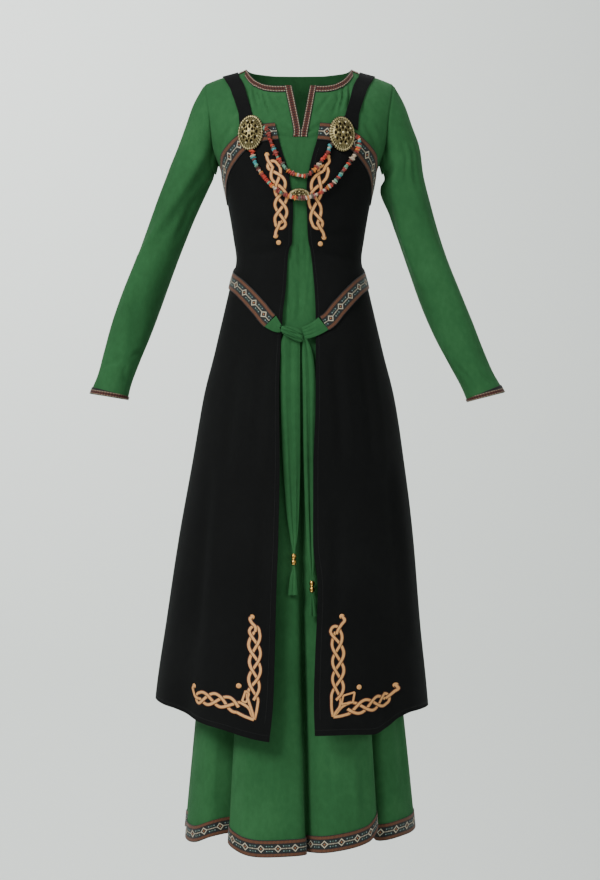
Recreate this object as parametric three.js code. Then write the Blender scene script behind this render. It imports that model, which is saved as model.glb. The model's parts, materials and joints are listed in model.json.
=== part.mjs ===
// Viking apron dress over a long-sleeved underdress, with its belt and jewellery.
//
// Millimetres, +Z up, the front faces -Y, the wearer's right is -X.
// The origin lies between the shoulders, level with the points where they meet the neck.
// Every cloth piece is a thin wall: a skin of shared points is worked out from sections,
// a piece takes some of the skin's faces, and its wall runs from one offset to another.

import * as THREE from 'three';

// ---- driving sizes ---------------------------------------------------------------------

const CLOTH = 1.6;              // wall of every cloth panel
const SEAM_INSET = 0.2;         // each piece stops this far short of its seam
const TRIM_LIFT = 0.35;         // clearance under a woven trim
const TRIM_THICKNESS = 1.2;
const WIDE_TRIM = 30;           // hem, bust and belt trim
const NECK_TRIM = 13;
const CUFF_TRIM = 9;
const BELT_LIFT = 1.1;
const STRAP_WIDTH = 26;
const STRAP_LIFT = 1.1;

const HEM = -1395;
const UNDERARM = -165;
const SHOULDER_ROLL = -80;      // the shoulder starts to round over here
const WALL_ROUNDNESS = 0.87;    // 1 is an ellipse, less is squarer
const ROUND_BELOW = -600;       // plain ellipses from here down

const SLIT_HALF = 16;           // neck slit, half its width at the neckline
const SLIT_ROW = 3;             // yoke row at the foot of the slit
const NECK_POINT = { x: 95, front: 7, back: 5 };   // where the neckline meets the shoulder
const SKIRT_TWIST = 3;          // degrees that the underdress skirt turns by its hem
const LOBE = 8;                 // how far the hem lobes swell between folds

const KNOT = { x: -12.5, y: -122, z: -477, halfWidth: 19.5, halfDepth: 8, halfHeight: 14 };
const BROOCH = { halfWidth: 23.5, halfHeight: 33, lift: 2.05 };
const MEDALLION = { x: 0.9, z: -227, halfWidth: 18.5, halfHeight: 11 };
const STRAND_RADIUS = 2.8;
const STRAND_LIFT = 5;
const TIE_BEAD = { radius: 5, hole: 3.1, height: 9 };

// ---- sections and folds ----------------------------------------------------------------

// Outer sections of the underdress, and how much wider the apron is at each height.
const FORM = table(['z', 'half', 'front', 'back', 'sideEase', 'frontEase', 'backEase'], [
  [20, 186, 52, 58, 3.2, 3.2, 3.2],
  [-20, 186, 61, 69, 3.2, 3.2, 3.2],
  [-50, 183, 76, 82, 3.2, 3.2, 3.2],
  [-82, 181, 87, 89, 3.2, 3.2, 3.2],
  [-110, 172, 97, 93, 3.2, 3.2, 3.2],
  [-136, 161, 104, 95, 3.2, 3.2, 3.2],
  [-150, 154.5, 107, 96, 3.2, 3.2, 3.2],
  [-165, 146, 109, 96, 3.2, 3.2, 3.2],
  [-198, 134.8, 113, 94.5, 3.2, 3.2, 3.2],
  [-250, 123.8, 106, 86, 3.2, 3.2, 3.2],
  [-300, 115.5, 94.5, 78, 3.2, 3.2, 3.2],
  [-337, 110.5, 87.5, 74.5, 3.5, 3.6, 3.5],
  [-380, 118, 92, 84, 6, 5.5, 5.5],
  [-440, 128, 101, 99, 10, 8, 8],
  [-500, 138, 111, 109, 14, 11, 10],
  [-584, 148, 123, 118, 25, 15, 15],
  [-700, 158, 137, 130, 34, 21, 20],
  [-846, 168, 152, 143, 46, 28, 25],
  [-992, 178, 166, 155, 53, 32, 29],
  [-1123, 186, 178, 165, 61, 36, 33],
  [-1200, 192, 184, 170, 62, 38, 34],
  [-1310, 201, 192, 179, 62, 38, 34],
  [-1395, 208, 198, 186, 62, 38, 34],
]);

// Soft folds: angle round from the centre front, depth at the hem, half-width in degrees,
// the height where the fold starts, and how far the hem rises in it.
const SKIRT_FOLDS = [
  { angle: -180, depth: 30, width: 7, top: -600, rise: 5 },
  { angle: -137.7, depth: 30, width: 7, top: -700, rise: 6 },
  { angle: -90, depth: 14, width: 9, top: -820, rise: 3 },
  { angle: -42.3, depth: 36, width: 6.5, top: -640, rise: 7 },
  { angle: 0, depth: 34, width: 6, top: -500, rise: 4 },
  { angle: 42.3, depth: 42, width: 7, top: -640, rise: 18 },
  { angle: 90, depth: 14, width: 9, top: -820, rise: 3 },
  { angle: 137.7, depth: 30, width: 7, top: -700, rise: 6 },
  { angle: 180, depth: 30, width: 7, top: -600, rise: 5 },
];
const APRON_FOLDS = [
  { angle: -180, depth: 14, width: 12, top: -560 },
  { angle: -140, depth: 18, width: 10, top: -640 },
  { angle: -98, depth: 10, width: 10, top: -760 },
  { angle: -52, depth: 22, width: 9, top: -720 },
  { angle: 46, depth: 20, width: 9, top: -700 },
  { angle: 96, depth: 10, width: 10, top: -760 },
  { angle: 140, depth: 18, width: 10, top: -640 },
  { angle: 180, depth: 14, width: 12, top: -560 },
];

// Columns of a quarter of the underdress, in front and behind: the share of the quarter
// at the underarm, and the distance from the centre at the neckline and shoulder.
const FRONT_COLUMNS = table(['share', 'top'], [
  [0, SLIT_HALF], [0.06, SLIT_HALF + NECK_TRIM], [0.13, 42], [0.21, 55], [0.29, 67], [0.36, 78],
  [0.42, 87], [0.47, 95], [0.53, 107], [0.61, 122], [0.74, 139], [0.87, 156], [1, 172],
]);
const BACK_COLUMNS = table(['share', 'top'], [
  [0, 0], [0.11, 26], [0.24, 50], [0.34, 70], [0.41, 84], [0.47, 95], [0.53, 107], [0.61, 122],
  [0.74, 139], [0.87, 156], [1, 172],
]);

// Yoke rows: 0 at the underarm, 1 at the neckline or shoulder.
const YOKE_ROWS = [0, 0.1, 0.197, 0.251, 0.37, 0.5, 0.62, 0.727, 0.86, 1];
const NECK_TRIM_ROW = 7;
const BODY_LEVELS = [
  -195, -235, -285, -310, -335, -360, -385, -440, -510, -600, -720, -850, -980,
  -1100, -1180, -1250, -1310, HEM + WIDE_TRIM, HEM,
];

const SHOULDER = table(['x', 'z'], [
  [0, 95], [50, 62], [78, 30], [95, 9], [107, 3.6], [144, -7], [172, -18],
]);
const NECKLINE = table(['x', 'front', 'back'], [
  [0, -27, 4], [42, -27.5, 4], [60, -25, 5], [78, -15.5, 6], [87, -5, 7], [95, 9, 9],
]);
const ARMHOLE = table(['z', 'x'], [
  [-18, 172], [-50, 167], [-82, 162], [-110, 159.5], [-136, 156.5], [-150, 152], [-165, 146],
]);

// Top edge of the apron and the height of the trim that follows it, by angle.
const APRON_TOP = table(['angle', 'z', 'band'], [
  [8, -97, 31], [16, -98.5, 31], [26, -104, 31], [35, -115, 31], [51, -137, 32], [62, -151, 35],
  [71.5, -167, 36], [80, -188, 34], [90, -206, 31], [110, -203, 30], [140, -194, 30], [180, -190, 30],
]);
const APRON_LEVELS = [
  -285, -310, -330, -350, -372, -400, -440, -495, -560, -640, -740, -850, -960, -1060,
];
const APRON_SHARES = [0, 0.07, 0.15, 0.25, 0.35, 0.44, 0.53, 0.62, 0.71, 0.81, 0.91, 1];
const APRON_BACK_CELLS = 16;

// Front opening of the apron: distance of each front edge from the middle.
const OPENING = table(['z', 'right', 'left'], [
  [-97, 43, 38], [-130, 37, 30], [-160, 30, 25], [-188, 20, 19], [-216, 14, 8], [-300, 12.5, 7],
  [-328, 21, 18], [-386, 25, 25], [-440, 31, 30], [-586, 35, 30], [-700, 34, 26], [-840, 36, 25],
  [-923, 39, 33], [-1050, 42, 28], [-1120, 44, 26], [-1190, 50, 28],
]);
const APRON_HEM = table(['angle', 'right', 'left'], [
  [0, -1192, -1180], [12, -1190, -1178], [38, -1176, -1174], [50, -1160, -1158], [62, -1143, -1146],
  [90, -1130, -1144], [135, -1138, -1140], [180, -1142, -1142],
]);

const BELT_LINE = table(['angle', 'z'], [
  [15, -459], [20, -452], [30, -428], [45, -402], [60, -386], [90, -371], [135, -346], [180, -338],
]);
const BELT_ENDS = { right: -20, left: 17 };

// The sleeve turns out of the armhole: tilt of each ring, its length and its lowest point.
const SLEEVE_FAN = [
  { tilt: 66, length: 124, x: 148.5, z: -167, armholeShare: 0.45 },
  { tilt: 52, length: 94, x: 151, z: -170, armholeShare: 0.15 },
  { tilt: 38, length: 80, x: 155.5, z: -177, armholeShare: 0 },
];
const ARM = {
  right: table(['z', 'x', 'half', 'depth', 'forward'], [
    [-190, 202, 39.5, 44, 0], [-235, 220, 39, 43, 2], [-322, 252, 38.5, 41, 6],
    [-410, 285, 37, 39, 12], [-497, 315, 34.5, 36, 20], [-560, 335, 32, 34, 27],
    [-577, 340.5, 33.5, 34, 29], [-586, 343.5, 34.5, 34.5, 30],
  ]),
  left: table(['z', 'x', 'half', 'depth', 'forward'], [
    [-190, 188, 39.5, 44, 0], [-235, 199, 39, 43, 2], [-322, 226, 38.5, 41, 6],
    [-410, 258, 37, 39, 12], [-497, 295, 34.5, 36, 20], [-560, 325, 32, 34, 27],
    [-578, 334, 33.5, 34, 29], [-586.5, 338.5, 34.5, 34.5, 30],
  ]),
};
const ARM_LEVELS = [-190, -245, -300, -355, -410, -465, -515, -560];
const ARM_CREASE = { height: 1.8, top: -230, bottom: -560, pitch: 42 };

const TAILS = {
  right: table(['z', 'x', 'width', 'fold'], [
    [-491.6, -14.5, 29, 1], [-560, -14.5, 30, 2.5], [-700, -12.5, 27, 2.5], [-800, -10, 18, 2],
    [-843, -8.8, 10, 1], [-860, -8.8, 4.4, 0], [-888, -8.8, 4.4, 0], [-902, -9.5, 10, 1], [-937, -11, 17, 1.5],
  ]),
  left: table(['z', 'x', 'width', 'fold'], [
    [-486, 15.6, 18, 1], [-560, 17.5, 21, 2], [-700, 20, 20, 2.5], [-850, 25, 14, 2],
    [-892, 27.5, 8, 1], [-908, 28, 4.4, 0], [-936, 28, 4.4, 0], [-948, 28.5, 9, 1], [-974, 30, 14, 1.5],
  ]),
};
const TAIL_LEVELS = {
  right: [-491.6, -525, -560, -610, -655, -700, -750, -800, -843, -860, -888, -902, -920, -937],
  left: [-486, -520, -560, -610, -655, -700, -750, -800, -850, -892, -908, -936, -948, -974],
};
const TIE_BEADS = {
  right: { x: -8.8, levels: [-869.1, -879.3] },
  left: { x: 28, levels: [-916.8, -927] },
};

const BROOCHES = {
  right: { x: -85.5, z: -116 },
  left: { x: 76.5, z: -118.5 },
};

// Routes of the strands between the brooches: x and z of each hanging point, and the
// places on the brooches' rims where each one starts and ends, in degrees.
const STRANDS = {
  upper: {
    start: { brooch: 'right', rim: 12 },
    end: { brooch: 'left', rim: 218 },
    points: [[-54, -118], [-49, -135], [-34, -167], [-15, -189], [0, -194], [12.5, -195], [28.5, -183],
      [41, -166], [51, -153]],
  },
  lower: {
    start: { brooch: 'right', rim: 278 },
    end: { brooch: 'left', rim: -8 },
    points: [[-79, -163], [-73, -177], [-62, -194], [-44, -214], [-22, -228], [0.9, -232.5], [23, -230],
      [43, -220], [64, -202], [83, -176], [96, -157], [103.5, -143], [106, -132]],
  },
};

// ---- materials -------------------------------------------------------------------------

const FINISH = {
  greenCloth: { color: 0x2f6e3b, roughness: 0.85, metalness: 0 },
  blackCloth: { color: 0x161818, roughness: 0.88, metalness: 0 },
  wideTrim: { color: 0x5d4535, roughness: 0.8, metalness: 0 },
  narrowTrim: { color: 0x5a3a2b, roughness: 0.8, metalness: 0 },
  bronze: { color: 0x8b7440, roughness: 0.45, metalness: 0.9 },
  gold: { color: 0xc99a4a, roughness: 0.3, metalness: 1 },
  stone: { color: 0xa23a34, roughness: 0.4, metalness: 0 },
};

const garment = new THREE.Group();

function addPiece(name, geometry, finish) {
  const mesh = new THREE.Mesh(geometry, new THREE.MeshStandardMaterial(FINISH[finish]));
  mesh.name = name;
  garment.add(mesh);
}

// ---- tables and small sums -------------------------------------------------------------

function table(columns, rows) {
  const result = { key: columns[0], ascending: rows[1][0] > rows[0][0] };
  columns.forEach((name, column) => {
    result[name] = rows.map((row) => row[column]);
  });
  return result;
}

// Reads a column at a place between two rows, on a curve that never overshoots them.
function read(source, column, place) {
  const places = source[source.key];
  const values = source[column];
  const last = places.length - 1;
  const sign = source.ascending ? 1 : -1;
  if (sign * place <= sign * places[0]) return values[0];
  if (sign * place >= sign * places[last]) return values[last];
  let row = 0;
  while (sign * place > sign * places[row + 1]) row += 1;
  const slope = (k) => (values[k + 1] - values[k]) / (places[k + 1] - places[k]);
  const tangent = (k) => {
    if (k === 0) return slope(0);
    if (k === last) return slope(last - 1);
    const before = slope(k - 1);
    const after = slope(k);
    return before * after <= 0 ? 0 : (2 * before * after) / (before + after);
  };
  const span = places[row + 1] - places[row];
  const t = (place - places[row]) / span;
  const rise = t * t * (3 - 2 * t);
  return values[row] * (1 - rise) + values[row + 1] * rise
    + span * (tangent(row) * t * (1 - t) * (1 - t) - tangent(row + 1) * t * t * (1 - t));
}

function mix(a, b, share) {
  return a + (b - a) * share;
}

function eased(share) {
  const t = Math.min(1, Math.max(0, share));
  return t * t * (3 - 2 * t);
}

function radians(degrees) {
  return (degrees * Math.PI) / 180;
}

function power(value, exponent) {
  return Math.sign(value) * Math.abs(value) ** exponent;
}

function roundness(z) {
  return mix(1, WALL_ROUNDNESS, eased((z - ROUND_BELOW) / (-300 - ROUND_BELOW)));
}

// ---- the form of the two dresses -------------------------------------------------------

// How far a surface is pushed in by its folds and out by the lobes between them.
function foldOffset(folds, angle, z, lobe) {
  let wrapped = angle;
  while (wrapped > 180) wrapped -= 360;
  while (wrapped < -180) wrapped += 360;
  let offset = 0;
  folds.forEach((fold) => {
    const growth = Math.max(0, (fold.top - z) / (fold.top - HEM));
    offset -= fold.depth * growth ** 1.15 * Math.exp(-(((wrapped - fold.angle) / fold.width) ** 2));
  });
  for (let k = 0; k + 1 < folds.length; k += 1) {
    const share = (wrapped - folds[k].angle) / (folds[k + 1].angle - folds[k].angle);
    if (share > 0 && share < 1) {
      const growth = Math.max(0, (folds[k].top - z) / (folds[k].top - HEM));
      offset += lobe * growth * Math.sin(Math.PI * share) ** 2;
    }
  }
  return offset;
}

// A point of the section at height z: half-widths plus ease, pushed out by an offset.
function sectionPoint(z, angle, ease, offset) {
  const behind = Math.cos(radians(angle)) < 0;
  const half = read(FORM, 'half', z) + ease * read(FORM, 'sideEase', z);
  const depth = behind
    ? read(FORM, 'back', z) + ease * read(FORM, 'backEase', z)
    : read(FORM, 'front', z) + ease * read(FORM, 'frontEase', z);
  const exponent = roundness(z);
  const x = half * power(Math.sin(radians(angle)), exponent);
  const y = -depth * power(Math.cos(radians(angle)), exponent);
  const reach = Math.hypot(x, y);
  return new THREE.Vector3(x * (1 + offset / reach), y * (1 + offset / reach), z);
}

function bodyPoint(z, angle) {
  const turned = angle + SKIRT_TWIST * eased((-400 - z) / 700);
  const point = sectionPoint(z, turned, 0, foldOffset(SKIRT_FOLDS, angle, z, LOBE));
  const wrapped = angle > 180 ? angle - 360 : angle;
  const hemShare = eased((-1100 - z) / (-1100 - HEM));
  SKIRT_FOLDS.forEach((fold) => {
    point.z += fold.rise * hemShare * Math.exp(-(((wrapped - fold.angle) / (2 * fold.width)) ** 2));
  });
  return point;
}

// Angle at which a section reaches the distance x from the middle.
function angleAt(x, z, ease) {
  const half = read(FORM, 'half', z) + ease * read(FORM, 'sideEase', z);
  const share = Math.min(1, Math.abs(x) / half) ** (1 / roundness(z));
  return (Math.asin(share) * 180) / Math.PI;
}

// The yoke, from the underarm up: the shoulders round over to meet in a line at y = 0.
function yokePoint(side, behind, z, angle) {
  const point = sectionPoint(z, angle, 0, 0);
  const crest = read(SHOULDER, 'z', point.x);
  const climb = Math.min(1, Math.max(0, (z - SHOULDER_ROLL) / (crest - SHOULDER_ROLL)));
  const depth = behind ? read(FORM, 'back', z) : read(FORM, 'front', z);
  const y = depth * power(Math.cos(radians(angle)), roundness(z)) * Math.sqrt(1 - climb * climb);
  return new THREE.Vector3(side * point.x, behind ? y : -y, z);
}

// Share of the way from the centre to the armhole of a point x from the middle.
function armholeShare(x, z) {
  return angleAt(x, z, 0) / angleAt(read(ARMHOLE, 'x', z), z, 0);
}

function topOfYoke(x, behind) {
  return x < NECK_POINT.x ? read(NECKLINE, behind ? 'back' : 'front', x) : read(SHOULDER, 'z', x);
}

// A yoke point by its share across (0 centre, 1 armhole) and its row (0 underarm, 1 top).
function yokeAt(side, behind, share, row, topX) {
  const topZ = topOfYoke(topX, behind);
  const z = mix(UNDERARM, topZ, Math.sin((row * Math.PI) / 2));
  const across = mix(share, armholeShare(topX, topZ), row);
  return yokePoint(side, behind, z, across * angleAt(read(ARMHOLE, 'x', z), z, 0));
}

// The centre front opens above the foot of the slit, and the next column keeps the
// width of the neck trim beside it.
function slitPoint(side, column, row) {
  const foot = YOKE_ROWS[SLIT_ROW];
  const z = mix(UNDERARM, topOfYoke(SLIT_HALF, false), Math.sin((row * Math.PI) / 2));
  let x = SLIT_HALF * Math.max(0, (row - foot) / (1 - foot));
  if (column === 1) {
    const plain = sectionPoint(UNDERARM, FRONT_COLUMNS.share[1] * 90, 0, 0).x;
    x += mix(plain, NECK_TRIM, Math.min(1, row / YOKE_ROWS[SLIT_ROW - 1]));
  }
  return yokePoint(side, false, z, angleAt(x, z, 0));
}

// ---- skins and walls -------------------------------------------------------------------

// A skin holds shared points and the faces of every piece that is cut from it.
class Skin {
  constructor() {
    this.points = [];
    this.faces = [];
    this.places = new Map();
  }

  pointIndex(point) {
    const key = point.toArray().map((value) => Math.round(value * 100)).join(' ');
    if (!this.places.has(key)) {
      this.places.set(key, this.points.length);
      this.points.push(point);
    }
    return this.places.get(key);
  }

  // Adds a grid of points as the faces of a piece, turned to look away from its axis.
  addGrid(grid, piece, axisAt) {
    const added = [];
    for (let row = 0; row + 1 < grid.length; row += 1) {
      for (let column = 0; column + 1 < grid[row].length; column += 1) {
        const corners = [
          grid[row][column], grid[row][column + 1], grid[row + 1][column + 1], grid[row + 1][column],
        ].map((point) => this.pointIndex(point));
        [[0, 1, 2], [0, 2, 3]].forEach((pick) => {
          const ids = pick.map((corner) => corners[corner]);
          if (new Set(ids).size === 3) added.push({ ids, piece, row, column });
        });
      }
    }
    let facing = 0;
    added.forEach((face) => {
      const [a, b, c] = face.ids.map((id) => this.points[id]);
      const middle = a.clone().add(b).add(c).divideScalar(3);
      facing += faceNormal(a, b, c).dot(middle.clone().sub(axisAt(middle)));
    });
    if (facing < 0) added.forEach((face) => face.ids.reverse());
    this.faces.push(...added);
  }

  findNormals() {
    this.normals = this.points.map(() => new THREE.Vector3());
    this.faces.forEach(({ ids }) => {
      const normal = faceNormal(...ids.map((id) => this.points[id]));
      ids.forEach((id) => this.normals[id].add(normal));
    });
    this.normals.forEach((normal) => normal.normalize());
  }

  // The wall of the chosen faces between two offsets from the skin, its edges drawn in.
  wall(choose, from, to, inset = SEAM_INSET) {
    const faces = this.faces.filter(choose);
    const edges = openEdges(faces);
    const shift = new Map();
    edges.forEach(([a, b]) => {
      [a, b].forEach((id) => {
        const along = this.points[b].clone().sub(this.points[a]).normalize();
        const inward = this.normals[id].clone().cross(along).normalize();
        if (!shift.has(id)) shift.set(id, []);
        shift.get(id).push(inward);
      });
    });
    const ids = [...new Set(faces.flatMap((face) => face.ids))];
    const slot = new Map(ids.map((id, place) => [id, place]));
    const moved = ids.map((id) => {
      const point = this.points[id].clone();
      if (shift.has(id)) point.addScaledVector(mitre(shift.get(id)), inset);
      return point;
    });
    const outer = moved.map((point, place) => point.clone().addScaledVector(this.normals[ids[place]], to));
    const inner = moved.map((point, place) => point.clone().addScaledVector(this.normals[ids[place]], from));
    const count = ids.length;
    const triangles = [];
    faces.forEach((face) => {
      const [a, b, c] = face.ids.map((id) => slot.get(id));
      triangles.push(a, b, c, count + c, count + b, count + a);
    });
    edges.forEach(([first, second]) => {
      const a = slot.get(first);
      const b = slot.get(second);
      if (first < second) triangles.push(b, a, count + a, b, count + a, count + b);
      else triangles.push(b, a, count + b, a, count + a, count + b);
    });
    return meshGeometry([...outer, ...inner], triangles);
  }
}

function faceNormal(a, b, c) {
  return b.clone().sub(a).cross(c.clone().sub(a));
}

// Edges that only one of the faces has, in that face's own direction.
function openEdges(faces) {
  const found = new Map();
  faces.forEach(({ ids }) => {
    ids.forEach((id, corner) => {
      const next = ids[(corner + 1) % 3];
      if (found.has(`${next} ${id}`)) found.delete(`${next} ${id}`);
      else found.set(`${id} ${next}`, [id, next]);
    });
  });
  return [...found.values()];
}

// The direction that keeps the same distance from both edges that meet in a point.
function mitre(directions) {
  const sum = new THREE.Vector3();
  directions.forEach((direction) => sum.add(direction));
  if (sum.length() < 0.2) return sum;
  const middle = sum.normalize();
  return middle.multiplyScalar(1 / Math.max(0.5, middle.dot(directions[0])));
}

function meshGeometry(points, triangles) {
  const geometry = new THREE.BufferGeometry();
  geometry.setAttribute('position', new THREE.Float32BufferAttribute(points.flatMap((p) => p.toArray()), 3));
  geometry.setIndex(triangles);
  geometry.computeVertexNormals();
  return geometry;
}

function trunkAxis(point) {
  return new THREE.Vector3(0, 0, point.z);
}

// ---- underdress ------------------------------------------------------------------------

// One quarter of the underdress body, from the hem up, from the centre out.
function bodyQuarter(side, behind) {
  const columns = behind ? BACK_COLUMNS : FRONT_COLUMNS;
  const levels = [...BODY_LEVELS].reverse();
  const skirt = levels.map((z) => columns.share.map((share) => {
    const angle = behind ? 180 - share * 90 : share * 90;
    return bodyPoint(z, side * angle);
  }));
  const yoke = YOKE_ROWS.map((row) => columns.share.map((share, place) => {
    if (!behind && place < 2) return slitPoint(side, place, row);
    return yokeAt(side, behind, share, row, columns.top[place]);
  }));
  return [...skirt, ...yoke];
}

// Points round an armhole, from the underarm up the front and down the back.
function armholeRing(side) {
  const shoulderTip = FRONT_COLUMNS.top[FRONT_COLUMNS.top.length - 1];
  const edge = (behind) => YOKE_ROWS.map((row) => yokeAt(side, behind, 1, row, shoulderTip));
  const front = edge(false);
  const back = edge(true).reverse();
  return [...front, ...back.slice(1, -1)];
}

// Turn of each ring point: 0 beside the body, 90 in front, 180 on the outside.
function ringTurns(ring) {
  const top = YOKE_ROWS.length - 1;
  const gaps = ring.map((point, place) => point.distanceTo(ring[(place + 1) % ring.length]));
  const frontLength = gaps.slice(0, top).reduce((sum, gap) => sum + gap, 0);
  const backLength = gaps.slice(top).reduce((sum, gap) => sum + gap, 0);
  let travelled = 0;
  return ring.map((_, place) => {
    const turn = place <= top
      ? (180 * travelled) / frontLength
      : 180 + (180 * (travelled - frontLength)) / backLength;
    travelled += gaps[place];
    return turn;
  });
}

function sleeveRing(centre, outward, half, depth, turns) {
  return turns.map((turn) => new THREE.Vector3(
    centre.x - outward.x * half * Math.cos(radians(turn)),
    centre.y - depth * Math.sin(radians(turn)),
    centre.z - outward.z * half * Math.cos(radians(turn)),
  ));
}

function armCentre(side, arm, z) {
  return new THREE.Vector3(side * read(arm, 'x', z), -read(arm, 'forward', z), z);
}

function sleeveGrid(side, name) {
  const armhole = armholeRing(side);
  const turns = ringTurns(armhole);
  const arm = ARM[name];
  const fan = SLEEVE_FAN.map(({ tilt, length, x, z, armholeShare: kept }) => {
    const outward = new THREE.Vector3(side * Math.cos(radians(tilt)), 0, Math.sin(radians(tilt)));
    const centre = new THREE.Vector3(side * x, 0, z).addScaledVector(outward, length / 2);
    const middle = armhole.reduce((sum, point) => sum.add(point), new THREE.Vector3()).divideScalar(armhole.length);
    return sleeveRing(centre, outward, length / 2, 45, turns).map((point, place) => {
      const carried = armhole[place].clone().sub(middle).add(centre);
      return point.lerp(carried, kept);
    });
  });
  const cuff = arm.z[arm.z.length - 1];
  const levels = [...ARM_LEVELS, cuff + CUFF_TRIM, cuff];
  const rings = levels.map((z) => {
    const centre = armCentre(side, arm, z);
    const along = armCentre(side, arm, z + 15).sub(armCentre(side, arm, z - 15)).setY(0).normalize();
    const outward = new THREE.Vector3(along.z * side, 0, -along.x * side);
    const wave = ARM_CREASE.height * eased((ARM_CREASE.top - z) / 80) * eased((z - ARM_CREASE.bottom) / 60);
    return turns.map((turn) => {
      const swell = wave * Math.sin(radians(2 * turn) + z / ARM_CREASE.pitch);
      const half = read(arm, 'half', z) + swell;
      const depth = read(arm, 'depth', z) + swell;
      return sleeveRing(centre, outward, half, depth, [turn])[0];
    });
  });
  return [armhole, ...fan, ...rings].map((ring) => [...ring, ring[0]]);
}

const underdress = new Skin();
[-1, 1].forEach((side) => {
  underdress.addGrid(bodyQuarter(side, false), 'front', trunkAxis);
  underdress.addGrid(bodyQuarter(side, true), 'back', trunkAxis);
});
const sleeveRows = {};
[['right', -1], ['left', 1]].forEach(([name, side]) => {
  const grid = sleeveGrid(side, name);
  sleeveRows[name] = grid.length - 1;
  underdress.addGrid(grid, `sleeve_${name}`, (point) => {
    const z = Math.min(-120, point.z);
    return armCentre(side, ARM[name], z);
  });
});
underdress.findNormals();

const HEM_ROWS = 1;
const YOKE_START = BODY_LEVELS.length;
const trimFrom = TRIM_LIFT;
const trimTo = TRIM_LIFT + TRIM_THICKNESS;

addPiece('underdress_front', underdress.wall((face) => face.piece === 'front', -CLOTH, 0), 'greenCloth');
addPiece('underdress_back', underdress.wall((face) => face.piece === 'back', -CLOTH, 0), 'greenCloth');
['right', 'left'].forEach((name) => {
  const sleeve = `sleeve_${name}`;
  addPiece(`underdress_${sleeve}`, underdress.wall((face) => face.piece === sleeve, -CLOTH, 0), 'greenCloth');
  const cuff = (face) => face.piece === sleeve && face.row === sleeveRows[name] - 1;
  addPiece(`cuff_trim_${name}`, underdress.wall(cuff, trimFrom, trimTo), 'narrowTrim');
});

function inNeckTrim(face) {
  const yokeRow = face.row - YOKE_START;
  const beside = face.column === 0 && yokeRow >= SLIT_ROW - 1 && face.piece === 'front';
  const point = NECK_POINT[face.piece];
  const along = face.column < point && yokeRow >= NECK_TRIM_ROW;
  const top = face.column === point && yokeRow === YOKE_ROWS.length - 2;
  return beside || along || top;
}

[['front', 'front'], ['back', 'back']].forEach(([name, piece]) => {
  const neck = (face) => face.piece === piece && inNeckTrim(face);
  const hem = (face) => face.piece === piece && face.row < HEM_ROWS;
  addPiece(`neck_trim_${name}`, underdress.wall(neck, trimFrom, trimTo), 'narrowTrim');
  addPiece(`hem_trim_${name}`, underdress.wall(hem, trimFrom, trimTo), 'wideTrim');
});

// ---- apron dress -----------------------------------------------------------------------

function apronPoint(z, angle) {
  return sectionPoint(z, angle, 1, foldOffset(APRON_FOLDS, angle, z, 4));
}

function apronHem(angle) {
  return read(APRON_HEM, angle < 0 ? 'right' : 'left', Math.abs(angle));
}

// Heights of a column of the apron, from its hem up to its top edge.
function apronHeights(angle) {
  const top = read(APRON_TOP, 'z', Math.abs(angle));
  const band = read(APRON_TOP, 'band', Math.abs(angle));
  const hem = apronHem(angle);
  const lowest = APRON_LEVELS[APRON_LEVELS.length - 1];
  const heights = [hem, mix(hem, lowest, 0.5), ...[...APRON_LEVELS].reverse()];
  [0.25, 0.5, 0.75].forEach((share) => heights.push(mix(APRON_LEVELS[0], top - band, share)));
  heights.push(top - band, top - band / 2, top);
  return heights;
}

// A front runs from its open edge to the side seam.
function apronFrontGrid(side, name) {
  const columns = APRON_SHARES.map((share) => {
    const nominal = side * mix(12, 90, share);
    return apronHeights(nominal).map((z) => {
      const edge = angleAt(read(OPENING, name, z), z, 1);
      return apronPoint(z, side * mix(edge, 90, share));
    });
  });
  return columns[0].map((_, row) => columns.map((column) => column[row]));
}

function apronBackGrid() {
  const columns = [];
  for (let cell = 0; cell <= APRON_BACK_CELLS; cell += 1) {
    const angle = 90 + (180 * cell) / APRON_BACK_CELLS;
    const signed = angle > 180 ? angle - 360 : angle;
    const heights = apronHeights(cell === APRON_BACK_CELLS ? -90 : signed);
    columns.push(heights.map((z) => apronPoint(z, angle)));
  }
  return columns[0].map((_, row) => columns.map((column) => column[row]));
}

const apron = new Skin();
apron.addGrid(apronFrontGrid(-1, 'right'), 'right', trunkAxis);
apron.addGrid(apronFrontGrid(1, 'left'), 'left', trunkAxis);
apron.addGrid(apronBackGrid(), 'back', trunkAxis);
apron.findNormals();

const apronRows = apronHeights(0).length - 1;
[['right', 'apron_front_right', 'bust_trim_right'], ['left', 'apron_front_left', 'bust_trim_left'],
  ['back', 'apron_back', 'back_trim']].forEach(([piece, panel, trim]) => {
  const band = (face) => face.piece === piece && face.row >= apronRows - 2;
  addPiece(panel, apron.wall((face) => face.piece === piece, -CLOTH, 0), 'blackCloth');
  addPiece(trim, apron.wall(band, trimFrom, trimTo), 'wideTrim');
});

// ---- ribbons that lie on a surface -----------------------------------------------------

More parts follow.
